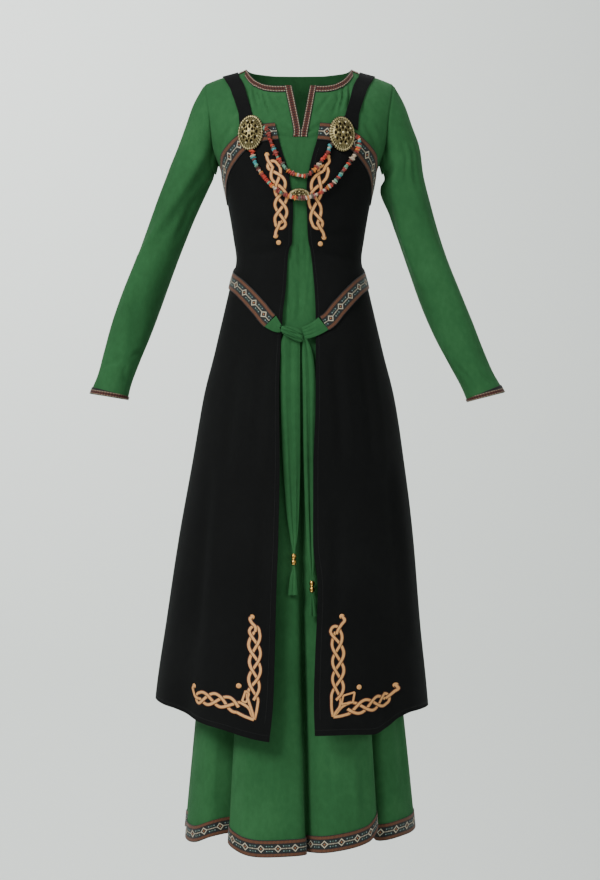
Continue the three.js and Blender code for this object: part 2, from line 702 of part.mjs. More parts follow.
// Places a strip of the given offsets across a route on a surface of two parameters.
function ribbonGrid(surface, route, offsetsAt) {
  const step = 0.002;
  return route.map((place, station) => {
    const before = route[Math.max(0, station - 1)];
    const after = route[Math.min(route.length - 1, station + 1)];
    const point = surface(place.a, place.b);
    const byA = surface(place.a + step, place.b).sub(surface(place.a - step, place.b)).divideScalar(2 * step);
    const byB = surface(place.a, place.b + step).sub(surface(place.a, place.b - step)).divideScalar(2 * step);
    const along = surface(after.a, after.b).sub(surface(before.a, before.b)).normalize();
    const across = byA.clone().cross(byB).normalize().cross(along).normalize();
    const aa = byA.dot(byA);
    const ab = byA.dot(byB);
    const bb = byB.dot(byB);
    const wide = aa * bb - ab * ab;
    const shareA = (across.dot(byA) * bb - across.dot(byB) * ab) / wide;
    const shareB = (across.dot(byB) * aa - across.dot(byA) * ab) / wide;
    return offsetsAt(station / (route.length - 1)).map((offset) => (
      offset === 0 ? point : surface(place.a + shareA * offset, place.b + shareB * offset)));
  });
}

function ribbon(surface, route, offsetsAt, from, to, axisAt = trunkAxis) {
  const skin = new Skin();
  skin.addGrid(ribbonGrid(surface, route, offsetsAt), 'strip', axisAt);
  skin.findNormals();
  return skin.wall(() => true, from, to, 0);
}

function evenly(count, make) {
  return Array.from({ length: count }, (_, place) => make(place / (count - 1)));
}

// ---- straps ----------------------------------------------------------------------------

// The yoke as one surface over the shoulder: rows above 1 run on down the back.
function shoulderSurface(side) {
  return (share, row) => {
    const behind = row > 1;
    const climbed = behind ? 2 - row : row;
    if (climbed < 0) {
      const point = sectionPoint(UNDERARM + climbed * 259, share * 90, 0, 0);
      const rear = sectionPoint(point.z, 180 - share * 90, 0, 0);
      return new THREE.Vector3(side * point.x, behind ? rear.y : point.y, point.z);
    }
    return yokeAt(side, behind, share, climbed, read(FRONT_COLUMNS, 'top', share));
  };
}

const STRAP_ROUTE = table(['row', 'share'], [
  [0.252, 0.414], [0.35, 0.47], [0.5, 0.52], [0.65, 0.56], [0.75, 0.595], [0.86, 0.62], [1, 0.64],
  [1.3, 0.62], [1.7, 0.53], [2.082, 0.45],
]);

[['right', -1], ['left', 1]].forEach(([name, side]) => {
  const first = STRAP_ROUTE.row[0];
  const last = STRAP_ROUTE.row[STRAP_ROUTE.row.length - 1];
  const route = evenly(22, (share) => {
    const row = mix(first, last, share);
    return { a: read(STRAP_ROUTE, 'share', row), b: row };
  });
  const offsets = () => [-0.5, -0.25, 0, 0.25, 0.5].map((part) => part * STRAP_WIDTH);
  const strip = ribbon(shoulderSurface(side), route, offsets, STRAP_LIFT, STRAP_LIFT + CLOTH);
  addPiece(`strap_${name}`, strip, 'blackCloth');
});

// ---- belt ------------------------------------------------------------------------------

function beltSurface(angle, z) {
  return sectionPoint(z, angle, 1, 0);
}

const halfTrim = WIDE_TRIM / 2;
const beltRoute = evenly(43, (share) => {
  const angle = mix(BELT_ENDS.left, 360 + BELT_ENDS.right, share);
  return { a: angle, b: read(BELT_LINE, 'z', angle > 180 ? 360 - angle : angle) };
});
addPiece(
  'belt_band',
  ribbon(beltSurface, beltRoute, () => [-halfTrim, 0, halfTrim], BELT_LIFT, BELT_LIFT + CLOTH),
  'wideTrim',
);

// Each tie end leaves the band along its own line, levels out and narrows to the knot.
const TIE_ENDS = {
  right: { from: { a: -19.5, b: -452.8 }, bend: { a: -13.4, b: -467.5 }, to: { a: -11.9, b: -468 }, width: 13 },
  left: { from: { a: 16.35, b: -457.2 }, bend: { a: 8.6, b: -471.5 }, to: { a: 2.45, b: -474 }, width: 12 },
};
Object.entries(TIE_ENDS).forEach(([name, { from, bend, to, width }]) => {
  const curve = (key, share) => mix(mix(from[key], bend[key], share), mix(bend[key], to[key], share), share);
  const route = evenly(6, (share) => ({ a: curve('a', share), b: curve('b', share) }));
  const offsets = (share) => [-0.5, -0.17, 0.17, 0.5].map((part) => part * mix(WIDE_TRIM - 2, width, share));
  const strip = ribbon(beltSurface, route, offsets, BELT_LIFT, BELT_LIFT + CLOTH);
  addPiece(`belt_tie_end_${name}`, strip, 'greenCloth');
});

// A soft block with rounded sides.
function knotGeometry() {
  const around = 18;
  const rows = 8;
  const squareness = 0.5;
  const grid = [];
  for (let row = 0; row <= rows; row += 1) {
    const height = radians(-90 + (180 * row) / rows);
    const ring = [];
    for (let place = 0; place <= around; place += 1) {
      const turn = radians((360 * (place % around)) / around);
      const level = power(Math.cos(height), squareness);
      ring.push(new THREE.Vector3(
        KNOT.x + KNOT.halfWidth * level * power(Math.cos(turn), squareness),
        KNOT.y + KNOT.halfDepth * level * power(Math.sin(turn), squareness),
        KNOT.z + KNOT.halfHeight * power(Math.sin(height), squareness),
      ));
    }
    grid.push(ring);
  }
  const skin = new Skin();
  skin.addGrid(grid, 'knot', () => new THREE.Vector3(KNOT.x, KNOT.y, KNOT.z));
  return meshGeometry(skin.points, skin.faces.flatMap((face) => face.ids));
}
addPiece('belt_knot', knotGeometry(), 'greenCloth');

// The tails hang just in front of the underdress and are drawn together in their beads.
function tailY(z) {
  return -Math.max(119.5, read(FORM, 'front', z) + 6);
}

['right', 'left'].forEach((name) => {
  const tail = TAILS[name];
  const grid = TAIL_LEVELS[name].map((z) => [-0.5, -0.25, 0, 0.25, 0.5].map((part, place) => {
    const fold = read(tail, 'fold', z) * (place % 2 === 0 ? 0.5 : -0.5);
    return new THREE.Vector3(read(tail, 'x', z) + part * read(tail, 'width', z), tailY(z) + fold, z);
  }));
  const skin = new Skin();
  skin.addGrid(grid, 'tail', trunkAxis);
  skin.findNormals();
  addPiece(`belt_tail_${name}`, skin.wall(() => true, -CLOTH / 2, CLOTH / 2, 0), 'greenCloth');
  TIE_BEADS[name].levels.forEach((z, place) => {
    const { radius, hole, height } = TIE_BEAD;
    const half = height / 2;
    const outline = [[hole, -half], [radius - 1.2, -half], [radius, 0], [radius - 1.2, half], [hole, half], [hole, -half]];
    const bead = new THREE.LatheGeometry(outline.map(([x, y]) => new THREE.Vector2(x, y)), 12);
    bead.rotateX(Math.PI / 2);
    bead.translate(TIE_BEADS[name].x, tailY(z), z);
    addPiece(`belt_bead_${name}_${place + 1}`, bead, 'gold');
  });
});

// ---- jewellery -------------------------------------------------------------------------

// A point of the apron's front over x and z, and the direction that it faces.
function chestPlace(x, z) {
  const at = (px, pz) => apronPoint(pz, Math.sign(px || 1) * angleAt(px, pz, 1));
  const point = at(x, z);
  const across = at(x + 1, z).sub(at(x - 1, z));
  const up = at(x, z + 1).sub(at(x, z - 1));
  return { point, facing: across.cross(up).normalize() };
}

// An oval boss on the chest: a turned profile, narrowed to the oval and laid on its place.
function ovalBoss(x, z, halfWidth, halfHeight, lift, profile) {
  const { point, facing } = chestPlace(x, z);
  const boss = new THREE.LatheGeometry(profile.map(([r, h]) => new THREE.Vector2(r * halfWidth, h)), 24);
  boss.scale(1, 1, halfHeight / halfWidth);
  const right = new THREE.Vector3(0, 0, 1).cross(facing).negate().normalize();
  const up = facing.clone().cross(right).negate().normalize();
  const turn = new THREE.Matrix4().makeBasis(right, facing, up.clone());
  if (turn.determinant() < 0) turn.makeBasis(right.clone().negate(), facing, up);
  boss.applyMatrix4(turn);
  boss.translate(...point.clone().addScaledVector(facing, lift).toArray());
  return boss;
}

const BROOCH_PROFILE = [[0, 0], [0.97, 0], [1, 1.2], [0.97, 2.6], [0.86, 3.2], [0.74, 6.4], [0.45, 9.6], [0, 10.8]];
const MEDALLION_PROFILE = [[0, 0], [0.96, 0], [1, 1], [0.93, 2.2], [0.6, 4.2], [0, 5]];

Object.entries(BROOCHES).forEach(([name, { x, z }]) => {
  const { halfWidth, halfHeight, lift } = BROOCH;
  addPiece(`brooch_${name}`, ovalBoss(x, z, halfWidth, halfHeight, lift, BROOCH_PROFILE), 'bronze');
});

// The place on a brooch's rim where a strand meets it, and the way out from there.
function rimPlace({ brooch, rim }) {
  const { x, z } = BROOCHES[brooch];
  const cos = Math.cos(radians(rim));
  const sin = Math.sin(radians(rim));
  const out = new THREE.Vector2(cos / BROOCH.halfWidth, sin / BROOCH.halfHeight).normalize();
  return { x: x + BROOCH.halfWidth * cos, z: z + BROOCH.halfHeight * sin, out };
}

function strandPoint(x, z) {
  const { point, facing } = chestPlace(x, z);
  return point.addScaledVector(facing, STRAND_LIFT);
}

Object.entries(STRANDS).forEach(([name, { start, end, points }]) => {
  const ends = [start, end].map((place) => {
    const { x, z, out } = rimPlace(place);
    return [1, 4].map((gap) => strandPoint(x + out.x * gap, z + out.y * gap));
  });
  const route = [...ends[0], ...points.map(([x, z]) => strandPoint(x, z)), ...ends[1].reverse()];
  const section = new THREE.Shape(evenly(9, (share) => new THREE.Vector2(
    STRAND_RADIUS * Math.cos(2 * Math.PI * share),
    STRAND_RADIUS * Math.sin(2 * Math.PI * share),
  )).slice(0, 8));
  const strand = new THREE.ExtrudeGeometry(section, {
    steps: 22, bevelEnabled: false, extrudePath: new THREE.CatmullRomCurve3(route),
  });
  addPiece(`bead_strand_${name}`, strand, 'stone');
});

const medallionLift = STRAND_LIFT + STRAND_RADIUS + 0.5;
addPiece(
  'medallion',
  ovalBoss(MEDALLION.x, MEDALLION.z, MEDALLION.halfWidth, MEDALLION.halfHeight, medallionLift, MEDALLION_PROFILE),
  'bronze',
);

export default garment;
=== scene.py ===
# Looks of an apron dress over a long-sleeved underdress, with its belt and jewellery.
# Sizes are worked out in millimetres and become metres when a mesh is made.
# The front faces -Y, the wearer's right is -X, and angle 0 is the centre front.

import json
import math

import bpy
import numpy as np
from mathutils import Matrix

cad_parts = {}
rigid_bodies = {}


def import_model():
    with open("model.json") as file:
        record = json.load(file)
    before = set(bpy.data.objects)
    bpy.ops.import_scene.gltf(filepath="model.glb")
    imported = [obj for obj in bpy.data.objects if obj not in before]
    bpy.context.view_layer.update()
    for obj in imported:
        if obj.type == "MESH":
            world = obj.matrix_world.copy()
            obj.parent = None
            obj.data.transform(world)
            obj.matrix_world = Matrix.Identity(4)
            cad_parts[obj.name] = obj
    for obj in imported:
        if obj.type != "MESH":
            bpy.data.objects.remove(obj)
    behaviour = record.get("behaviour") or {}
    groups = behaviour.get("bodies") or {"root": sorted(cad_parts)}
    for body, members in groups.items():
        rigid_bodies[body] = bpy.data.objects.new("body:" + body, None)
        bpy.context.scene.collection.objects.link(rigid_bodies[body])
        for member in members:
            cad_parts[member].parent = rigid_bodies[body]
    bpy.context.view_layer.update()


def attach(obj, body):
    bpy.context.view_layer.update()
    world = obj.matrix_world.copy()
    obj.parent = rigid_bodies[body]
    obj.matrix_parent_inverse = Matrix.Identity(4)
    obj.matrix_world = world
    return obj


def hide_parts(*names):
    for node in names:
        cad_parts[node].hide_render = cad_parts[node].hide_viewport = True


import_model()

MM = 0.001

# ---- sizes that the pieces share -------------------------------------------------------

CLOTH = 1.6
TRIM_LIFT = 0.35
TRIM_THICKNESS = 1.2
WIDE_TRIM = 30.0
NECK_TRIM = 13.0
CUFF_TRIM = 9.0
BELT_LIFT = 1.1
STRAP_WIDTH = 26.0
STRAP_LIFT = 1.1

HEM = -1395.0
UNDERARM = -165.0
SHOULDER_ROLL = -80.0
WALL_ROUNDNESS = 0.87
ROUND_BELOW = -600.0
SLIT_HALF = 16.0
SLIT_ROW = 3
SLIT_SHIFT = 4.0
NECK_POINT = {"x": 95.0, "front": 7, "back": 5}
SKIRT_TWIST = 3.0
LOBE = 8.0

KNOT = {"x": -12.5, "y": -122.0, "z": -477.0, "width": 19.5, "depth": 8.0, "height": 14.0}
BROOCH = {"width": 23.5, "height": 33.0, "lift": 2.05}
MEDALLION = {"x": 0.9, "z": -227.0, "width": 18.5, "height": 11.0}
STRAND_LIFT = 5.0


# ---- tables and small sums -------------------------------------------------------------

class Table:
    """Columns read by place, on a curve that never overshoots its rows."""

    def __init__(self, columns, rows):
        data = np.array(rows, float)
        if data[1, 0] < data[0, 0]:
            data = data[::-1]
        self.places = data[:, 0]
        self.curves = {name: data[:, k + 1] for k, name in enumerate(columns.split()[1:])}

    def read(self, column, place):
        p, v = self.places, self.curves[column]
        slope = np.diff(v) / np.diff(p)
        tangent = np.concatenate([slope[:1], np.zeros(len(p) - 2), slope[-1:]])
        same = slope[:-1] * slope[1:] > 0
        total = np.where(same, slope[:-1] + slope[1:], 1.0)
        tangent[1:-1] = np.where(same, 2 * slope[:-1] * slope[1:] / total, 0.0)
        place = np.clip(np.asarray(place, float), p[0], p[-1])
        row = np.clip(np.searchsorted(p, place, side="right") - 1, 0, len(p) - 2)
        span = p[row + 1] - p[row]
        t = (place - p[row]) / span
        rise = t * t * (3 - 2 * t)
        return (v[row] * (1 - rise) + v[row + 1] * rise
                + span * (tangent[row] * t * (1 - t) ** 2 - tangent[row + 1] * t * t * (1 - t)))


def mix(a, b, share):
    return a + (b - a) * share


def eased(share):
    t = np.clip(share, 0.0, 1.0)
    return t * t * (3 - 2 * t)


def power(value, exponent):
    return np.sign(value) * np.abs(value) ** exponent


def sin_of(degrees):
    return np.sin(np.radians(degrees))


def cos_of(degrees):
    return np.cos(np.radians(degrees))


def unit(vectors):
    length = np.linalg.norm(vectors, axis=-1, keepdims=True)
    return vectors / np.maximum(length, 1e-9)


def finer(values, counts):
    """Splits each gap between the values; also tells which gap each new one came from."""
    values = list(values)
    fine, gap = [], []
    for place, (a, b) in enumerate(zip(values, values[1:])):
        count = counts[place] if hasattr(counts, "__len__") else counts
        for step in range(count):
            fine.append(mix(a, b, step / count))
            gap.append(place)
    return np.array(fine + [values[-1]]), np.array(gap)


# ---- the form of the two dresses -------------------------------------------------------

FORM = Table("z half front back side_ease front_ease back_ease", [
    [20, 186, 52, 58, 3.2, 3.2, 3.2],
    [-20, 186, 61, 69, 3.2, 3.2, 3.2],
    [-50, 183, 76, 82, 3.2, 3.2, 3.2],
    [-82, 181, 87, 89, 3.2, 3.2, 3.2],
    [-110, 172, 97, 93, 3.2, 3.2, 3.2],
    [-136, 161, 104, 95, 3.2, 3.2, 3.2],
    [-150, 154.5, 107, 96, 3.2, 3.2, 3.2],
    [-165, 146, 109, 96, 3.2, 3.2, 3.2],
    [-198, 134.8, 113, 94.5, 3.2, 3.2, 3.2],
    [-250, 123.8, 106, 86, 3.2, 3.2, 3.2],
    [-300, 115.5, 94.5, 78, 3.2, 3.2, 3.2],
    [-337, 110.5, 87.5, 74.5, 3.5, 3.6, 3.5],
    [-380, 118, 92, 84, 6, 5.5, 5.5],
    [-440, 128, 101, 99, 10, 8, 8],
    [-500, 138, 111, 109, 14, 11, 10],
    [-584, 148, 123, 118, 25, 15, 15],
    [-700, 158, 137, 130, 34, 21, 20],
    [-846, 168, 152, 143, 46, 28, 25],
    [-992, 178, 166, 155, 53, 32, 29],
    [-1123, 186, 178, 165, 61, 36, 33],
    [-1200, 192, 184, 170, 62, 38, 34],
    [-1310, 201, 192, 179, 62, 38, 34],
    [-1395, 208, 198, 186, 62, 38, 34],
])

# Angle, depth at the hem, half-width in degrees, where the fold starts, rise of the hem.
SKIRT_FOLDS = [
    (-180, 30, 7, -600, 5), (-137.7, 30, 7, -700, 6), (-90, 14, 9, -820, 3),
    (-46.5, 44, 6, -640, 30), (0, 34, 6, -500, 4), (49, 46, 6.5, -640, 0),
    (90, 14, 9, -820, 3), (137.7, 30, 7, -700, 6), (180, 30, 7, -600, 5),
]
# Where the edge of one fold laps over the next: angle, how far and which way, half-width.
SKIRT_LAPS = [(-180, 1.2, 7), (-137.7, 1.3, 7), (-46.5, -0.4, 6), (0, 1.1, 6), (49, -1.3, 6.5),
              (137.7, -1.3, 7), (180, 1.2, 7)]
HEM_RISE = Table("angle rise", [
    [-180, 24], [-137, 22], [-90, 22], [-60, 8], [-32, 0], [0, 2], [18, 12], [32, 24],
    [42, 46], [48, 44], [54, 18], [62, 26], [90, 38], [137, 28], [180, 24],
])
APRON_FOLDS = [
    (-180, 14, 12, -560, 0), (-140, 18, 10, -640, 0), (-98, 10, 10, -760, 0),
    (-52, 22, 9, -720, 0), (46, 20, 9, -700, 0), (96, 10, 10, -760, 0),
    (140, 18, 10, -640, 0), (180, 14, 12, -560, 0),
]

FRONT_COLUMNS = Table("share top", [
    [0, SLIT_HALF], [0.06, SLIT_HALF + NECK_TRIM], [0.13, 42], [0.21, 55], [0.29, 67],
    [0.36, 78], [0.42, 87], [0.47, 95], [0.53, 107], [0.61, 122], [0.74, 139],
    [0.87, 156], [1, 172],
])
BACK_COLUMNS = Table("share top", [
    [0, 0], [0.11, 26], [0.24, 50], [0.34, 70], [0.41, 84], [0.47, 95], [0.53, 107],
    [0.61, 122], [0.74, 139], [0.87, 156], [1, 172],
])
YOKE_ROWS = [0, 0.1, 0.197, 0.251, 0.37, 0.5, 0.62, 0.727, 0.86, 1]
NECK_TRIM_ROW = 7
BODY_LEVELS = [
    -195, -235, -285, -310, -335, -360, -385, -440, -510, -600, -720, -850, -980,
    -1100, -1180, -1250, -1310, HEM + WIDE_TRIM, HEM,
]
SHOULDER = Table("x z", [
    [0, 95], [50, 62], [78, 30], [95, 9], [107, 3.6], [144, -7], [172, -18],
])
NECKLINE = Table("x front back", [
    [0, -27, 4], [42, -27.5, 4], [60, -25, 5], [78, -15.5, 6], [87, -5, 7], [95, 9, 9],
])
ARMHOLE = Table("z x", [
    [-18, 172], [-50, 167], [-82, 162], [-110, 159.5], [-136, 156.5], [-150, 152],
    [-165, 146],
])
APRON_TOP = Table("angle z band", [
    [8, -97, 31], [16, -98.5, 31], [26, -104, 31], [35, -115, 31], [51, -137, 32],
    [62, -151, 35], [71.5, -167, 36], [80, -188, 34], [90, -206, 31], [110, -203, 30],
    [140, -194, 30], [180, -190, 30],
])
APRON_LEVELS = [
    -285, -310, -330, -350, -372, -400, -440, -495, -560, -640, -740, -850, -960, -1060,
]
APRON_SHARES = [0, 0.07, 0.15, 0.25, 0.35, 0.44, 0.53, 0.62, 0.71, 0.81, 0.91, 1]
OPENING = Table("z right left", [
    [-97, 43, 38], [-130, 35.5, 32], [-148, 30.6, 26.6], [-190, 17.9, 17], [-215, 14.7, 13.8],
    [-240, 10.8, 13.9], [-259, 10.3, 14.7], [-290, 11.6, 15.5], [-312, 12, 17.5],
    [-322, 17.2, 20.3], [-345, 20.4, 23.5], [-370, 22, 25.9], [-395, 23.5, 28.2],
    [-440, 29, 30], [-586, 35, 30], [-700, 34, 26], [-840, 36, 25], [-923, 39, 33],
    [-1050, 42, 28], [-1120, 44, 26], [-1190, 50, 28],
])
APRON_HEM = Table("angle right left", [
    [0, -1194, -1180], [12, -1190, -1179], [28, -1172, -1179], [39, -1163, -1181],
    [49, -1154, -1170], [55, -1147, -1155], [62, -1140, -1147], [90, -1129, -1142],
    [135, -1138, -1142], [180, -1142, -1142],
])
BELT_LINE = Table("angle z", [
    [15, -459], [20, -452], [30, -428], [45, -402], [60, -386], [90, -371], [135, -346],
    [180, -338],
])
BELT_ENDS = {"right": -20.0, "left": 17.0}


def roundness(z):
    return mix(1, WALL_ROUNDNESS, eased((z - ROUND_BELOW) / (-300 - ROUND_BELOW)))


def wrap(angle):
    return (angle + 180) % 360 - 180


def fold_offset(folds, angle, z, lobe):
    turned = wrap(angle)
    offset = np.zeros(np.broadcast(turned, z).shape)
    for place, depth, width, top, _ in folds:
        growth = np.clip((top - z) / (top - HEM), 0, None)
        offset = offset - depth * growth ** 1.15 * np.exp(-((turned - place) / width) ** 2)
    for near, far in zip(folds, folds[1:]):
        share = np.clip((turned - near[0]) / (far[0] - near[0]), 0, 1)
        growth = np.clip((near[3] - z) / (near[3] - HEM), 0, None)
        offset = offset + lobe * growth * np.sin(np.pi * share) ** 2
    return offset


def section(z, angle, ease=0.0, offset=0.0):
    c, s = cos_of(angle), sin_of(angle)
    half = FORM.read("half", z) + ease * FORM.read("side_ease", z)
    front = FORM.read("front", z) + ease * FORM.read("front_ease", z)
    back = FORM.read("back", z) + ease * FORM.read("back_ease", z)
    x = half * power(s, roundness(z))
    y = -np.where(c < 0, back, front) * power(c, roundness(z))
    grow = 1 + offset / np.hypot(x, y)
    return np.stack(np.broadcast_arrays(x * grow, y * grow, z), -1)


def body_point(z, angle):
    turned = angle + SKIRT_TWIST * eased((-400 - z) / 700)
    for place, lap, width in SKIRT_LAPS:
        behind_edge = (wrap(angle) - place) * np.sign(lap) + 1.1 * width
        growth = np.clip((-560 - z) / (-560 - HEM), 0, None)
        turned = turned + lap * width * growth * np.exp(-(behind_edge / (0.8 * width)) ** 2)
    point = section(z, turned, 0.0, fold_offset(SKIRT_FOLDS, angle, z, LOBE))
    hem_share = eased((-1100 - z) / (-1100 - HEM))
    for place, _, width, _, rise in SKIRT_FOLDS:
        lift = rise * hem_share * np.exp(-((wrap(angle) - place) / (2 * width)) ** 2)
        point[..., 2] += lift
    point[..., 2] += HEM_RISE.read("rise", wrap(angle)) * hem_share
    return point


def angle_at(x, z, ease):
    half = FORM.read("half", z) + ease * FORM.read("side_ease", z)
    share = np.minimum(1, np.abs(x) / half) ** (1 / roundness(z))
    return np.degrees(np.arcsin(share))


def yoke_point(side, behind, z, angle):
    x = section(z, angle)[..., 0]
    crest = SHOULDER.read("z", x)
    climb = np.clip((z - SHOULDER_ROLL) / (crest - SHOULDER_ROLL), 0, 1)
    depth = FORM.read("back" if behind else "front", z)
    y = depth * power(cos_of(angle), roundness(z)) * np.sqrt(1 - climb * climb)
    return np.stack(np.broadcast_arrays(side * x, y if behind else -y, z), -1)


def top_of_yoke(x, behind):
    neck = NECKLINE.read("back" if behind else "front", x)
    return np.where(x < NECK_POINT["x"], neck, SHOULDER.read("z", x))


def yoke_at(side, behind, share, row, top_x):
    top_z = top_of_yoke(top_x, behind)
    z = mix(UNDERARM, top_z, np.sin(row * np.pi / 2))
    at_top = angle_at(top_x, top_z, 0) / angle_at(ARMHOLE.read("x", top_z), top_z, 0)
    across = mix(share, at_top, row)
    return yoke_point(side, behind, z, across * angle_at(ARMHOLE.read("x", z), z, 0))


def apron_sway(x, z):
    """The hem hangs a little toward the wearer's right, apart from the opening's edges."""
    return -13 * eased((-600 - z) / 560) * eased((np.abs(x) - 40) / 60)


def apron_point(z, angle):
    point = section(z, angle, 1.0, fold_offset(APRON_FOLDS, angle, z, 4))
    point[..., 0] += apron_sway(point[..., 0], z)
    return point


def belt_surface(angle, z):
    return section(z, angle, 1.0)


def chest_place(x, z):
    """A point of the apron's front over x and z, and the direction that it faces."""
    x, z = np.asarray(x, float), np.asarray(z, float)

    def at(px, pz):
        px = px - apron_sway(px, pz)
        return apron_point(pz, np.where(px < 0, -1, 1) * angle_at(px, pz, 1))

    across = at(x + 1, z) - at(x - 1, z)
    up = at(x, z + 1) - at(x, z - 1)
    return at(x, z), unit(np.cross(across, up))


# ---- creases ---------------------------------------------------------------------------
# Each crease is a bent line with a half-width and a depth: below 0 it is a trough with a
# lower swell beside it, above 0 a ridge. Its ends fade out.

def crease_depth(creases, across, down):
    total = np.zeros(np.broadcast(across, down).shape)
    for line, width, depth in creases:
        legs = list(zip(line, line[1:]))
        nearest = np.full(total.shape, np.inf)
        signed = np.zeros(total.shape)
        share = np.zeros(total.shape)
        for leg, ((x0, z0), (x1, z1)) in enumerate(legs):
            dx, dz = x1 - x0, z1 - z0
            t = np.clip(((across - x0) * dx + (down - z0) * dz) / (dx * dx + dz * dz), 0, 1)
            gx, gz = across - x0 - t * dx, down - z0 - t * dz
            gap = np.hypot(gx, gz)
            closer = gap < nearest
            side = np.where(dx * gz - dz * gx < 0, -1, 1)
            nearest = np.where(closer, gap, nearest)
            signed = np.where(closer, side * gap, signed)
            share = np.where(closer, (leg + t) / len(legs), share)
        reach = signed / width
        fade = 1 - (2 * share - 1) ** 4
        total += depth * fade * (np.exp(-reach ** 2) - 0.4 * np.exp(-(reach - 1.9) ** 2))
    return total


# Underdress in front, by x and height.
FRONT_CREASES = [
    ([(-84, -24), (-80, -44), (-70, -74)], 3.0, -2.4),
    ([(-75, -30), (-70, -52), (-62, -84)], 2.8, -2.2),
    ([(-66, -36), (-60, -58), (-46, -90)], 2.8, -1.9),
    ([(-54, -42), (-40, -62), (-24, -84)], 3.2, -1.5),
    ([(-92, -22), (-92, -48), (-86, -80)], 3.0, -1.6),
    ([(80, -26), (80, -46), (72, -76)], 3.0, -2.4),
    ([(90, -22), (92, -44), (88, -72)], 2.8, -2.0),
    ([(70, -34), (70, -54), (60, -84)], 2.8, -1.8),
    ([(58, -42), (44, -60), (30, -82)], 3.2, -1.4),
    ([(-2, -118), (-24, -106), (-50, -92)], 2.8, -2.0),
    ([(-4, -128), (-28, -120), (-54, -116)], 2.4, -1.5),
    ([(12, -118), (28, -106), (44, -94)], 2.8, -1.6),
    ([(10, -128), (28, -122), (44, -114)], 2.4, -1.1),
    ([(-1, -300), (3, -340), (2, -420), (0, -452)], 3.6, -2.8),
    ([(-20, -318), (-8, -350), (-4, -384)], 3.2, -2.4),
    ([(11, -300), (12, -350), (10, -398)], 3.2, -2.0),
    ([(22, -330), (19, -370), (18, -418)], 3.0, -1.6),
    ([(-18, -405), (-14, -430), (-18, -456)], 2.6, -2.0),
    ([(-1, -425), (-4, -440), (-9, -458)], 1.8, -2.4),
    ([(3, -425), (5, -440), (8, -458)], 1.8, -2.2),
    ([(-24, -420), (-22, -440), (-26, -458)], 2.4, -1.6),
    ([(14, -500), (16, -560), (12, -640)], 4.5, -1.8),
    ([(-26, -500), (-24, -560), (-26, -660)], 4.5, -2.0),
    ([(-18, -660), (-14, -800), (-18, -1000)], 6.0, -2.2),
    ([(4, -620), (6, -800), (10, -1100), (14, -1380)], 3.4, -4.2),
    ([(-60, -1190), (-62, -1280), (-66, -1350)], 8.0, -2.4),
    ([(-134, -1190), (-138, -1260), (-144, -1330)], 6.0, -2.6),
    ([(-90, -1200), (-94, -1290), (-100, -1370)], 6.0, 2.0),
    ([(-30, -1200), (-28, -1280), (-30, -1370)], 8.0, 2.0),
    ([(56, -1190), (54, -1270), (50, -1350)], 7.0, -2.0),
    ([(96, -1190), (100, -1270), (106, -1340)], 7.0, 2.0),
    ([(154, -1160), (162, -1230), (170, -1310)], 4.0, -3.0),
    ([(174, -1150), (182, -1210), (190, -1300)], 4.0, -2.6),
    ([(-118, -96), (-134, -120), (-142, -148)], 5.0, -2.2),
    ([(118, -96), (134, -120), (142, -148)], 5.0, -2.4),
    ([(-96, -50), (-112, -72), (-128, -88)], 5.0, -1.4),
    ([(104, -48), (116, -70), (130, -86)], 5.0, -1.5),
]
# Underdress behind, by x and height.
BACK_CREASES = [
    ([(-62, -14), (-54, -50), (-50, -96)], 4.5, -1.2),
    ([(58, -14), (50, -52), (48, -92)], 4.5, -1.1),
    ([(-120, -60), (-112, -100), (-104, -140)], 6.0, -1.8),
    ([(122, -62), (112, -104), (102, -146)], 6.0, -1.7),
    ([(-20, -20), (-8, -40), (14, -48)], 4.0, -0.8),
    ([(-70, -1170), (-74, -1250), (-70, -1330)], 7.0, -1.6),
    ([(84, -1180), (90, -1250), (88, -1340)], 7.0, -1.5),
    ([(30, -1190), (26, -1270), (30, -1350)], 6.0, -1.2),
]
# Sleeves, by the way round in millimetres and the height; 0 lies beside the body.
SLEEVE_CREASES = {
    "right": [
        ([(97, -346), (68, -250), (56, -200), (46, -130)], 10.0, 3.8),
        ([(52, -505), (80, -430), (97, -340)], 10.0, 1.8),
        ([(10, -190), (30, -235), (36, -310)], 8.0, -2.2),
        ([(112, -170), (118, -240), (114, -330)], 9.0, -1.6),
        ([(98, -532), (54, -519)], 4.5, -2.0),
        ([(6, -500), (42, -512)], 4.5, -1.8),
        ([(30, -560), (48, -535)], 4.0, -1.2),
        ([(220, -160), (180, -220), (150, -290)], 9.0, -2.6),
        ([(150, -340), (190, -380), (226, -400)], 7.0, -2.2),
        ([(146, -440), (188, -470), (224, -462)], 6.0, -1.8),
        ([(214, -250), (190, -290), (160, -320)], 8.0, -1.8),
    ],
    "left": [
        ([(26, -400), (30, -282), (42, -200), (50, -150)], 9.0, 2.6),
        ([(92, -480), (88, -330), (82, -190)], 11.0, 1.6),
        ([(70, -120), (66, -160), (64, -205)], 5.0, -1.6),
        ([(82, -118), (80, -165), (82, -215)], 5.0, -1.3),
        ([(18, -500), (6, -556)], 5.0, -2.2),
        ([(90, -563), (70, -540)], 3.5, -1.7),
        ([(30, -524), (44, -560)], 5.0, -1.2),
        ([(220, -166), (182, -228), (148, -300)], 9.0, -2.6),
        ([(152, -352), (192, -390), (226, -408)], 7.0, -2.2),
        ([(148, -452), (190, -480), (222, -470)], 6.0, -1.8),
        ([(212, -262), (188, -300), (158, -332)], 8.0, -1.8),
    ],
}
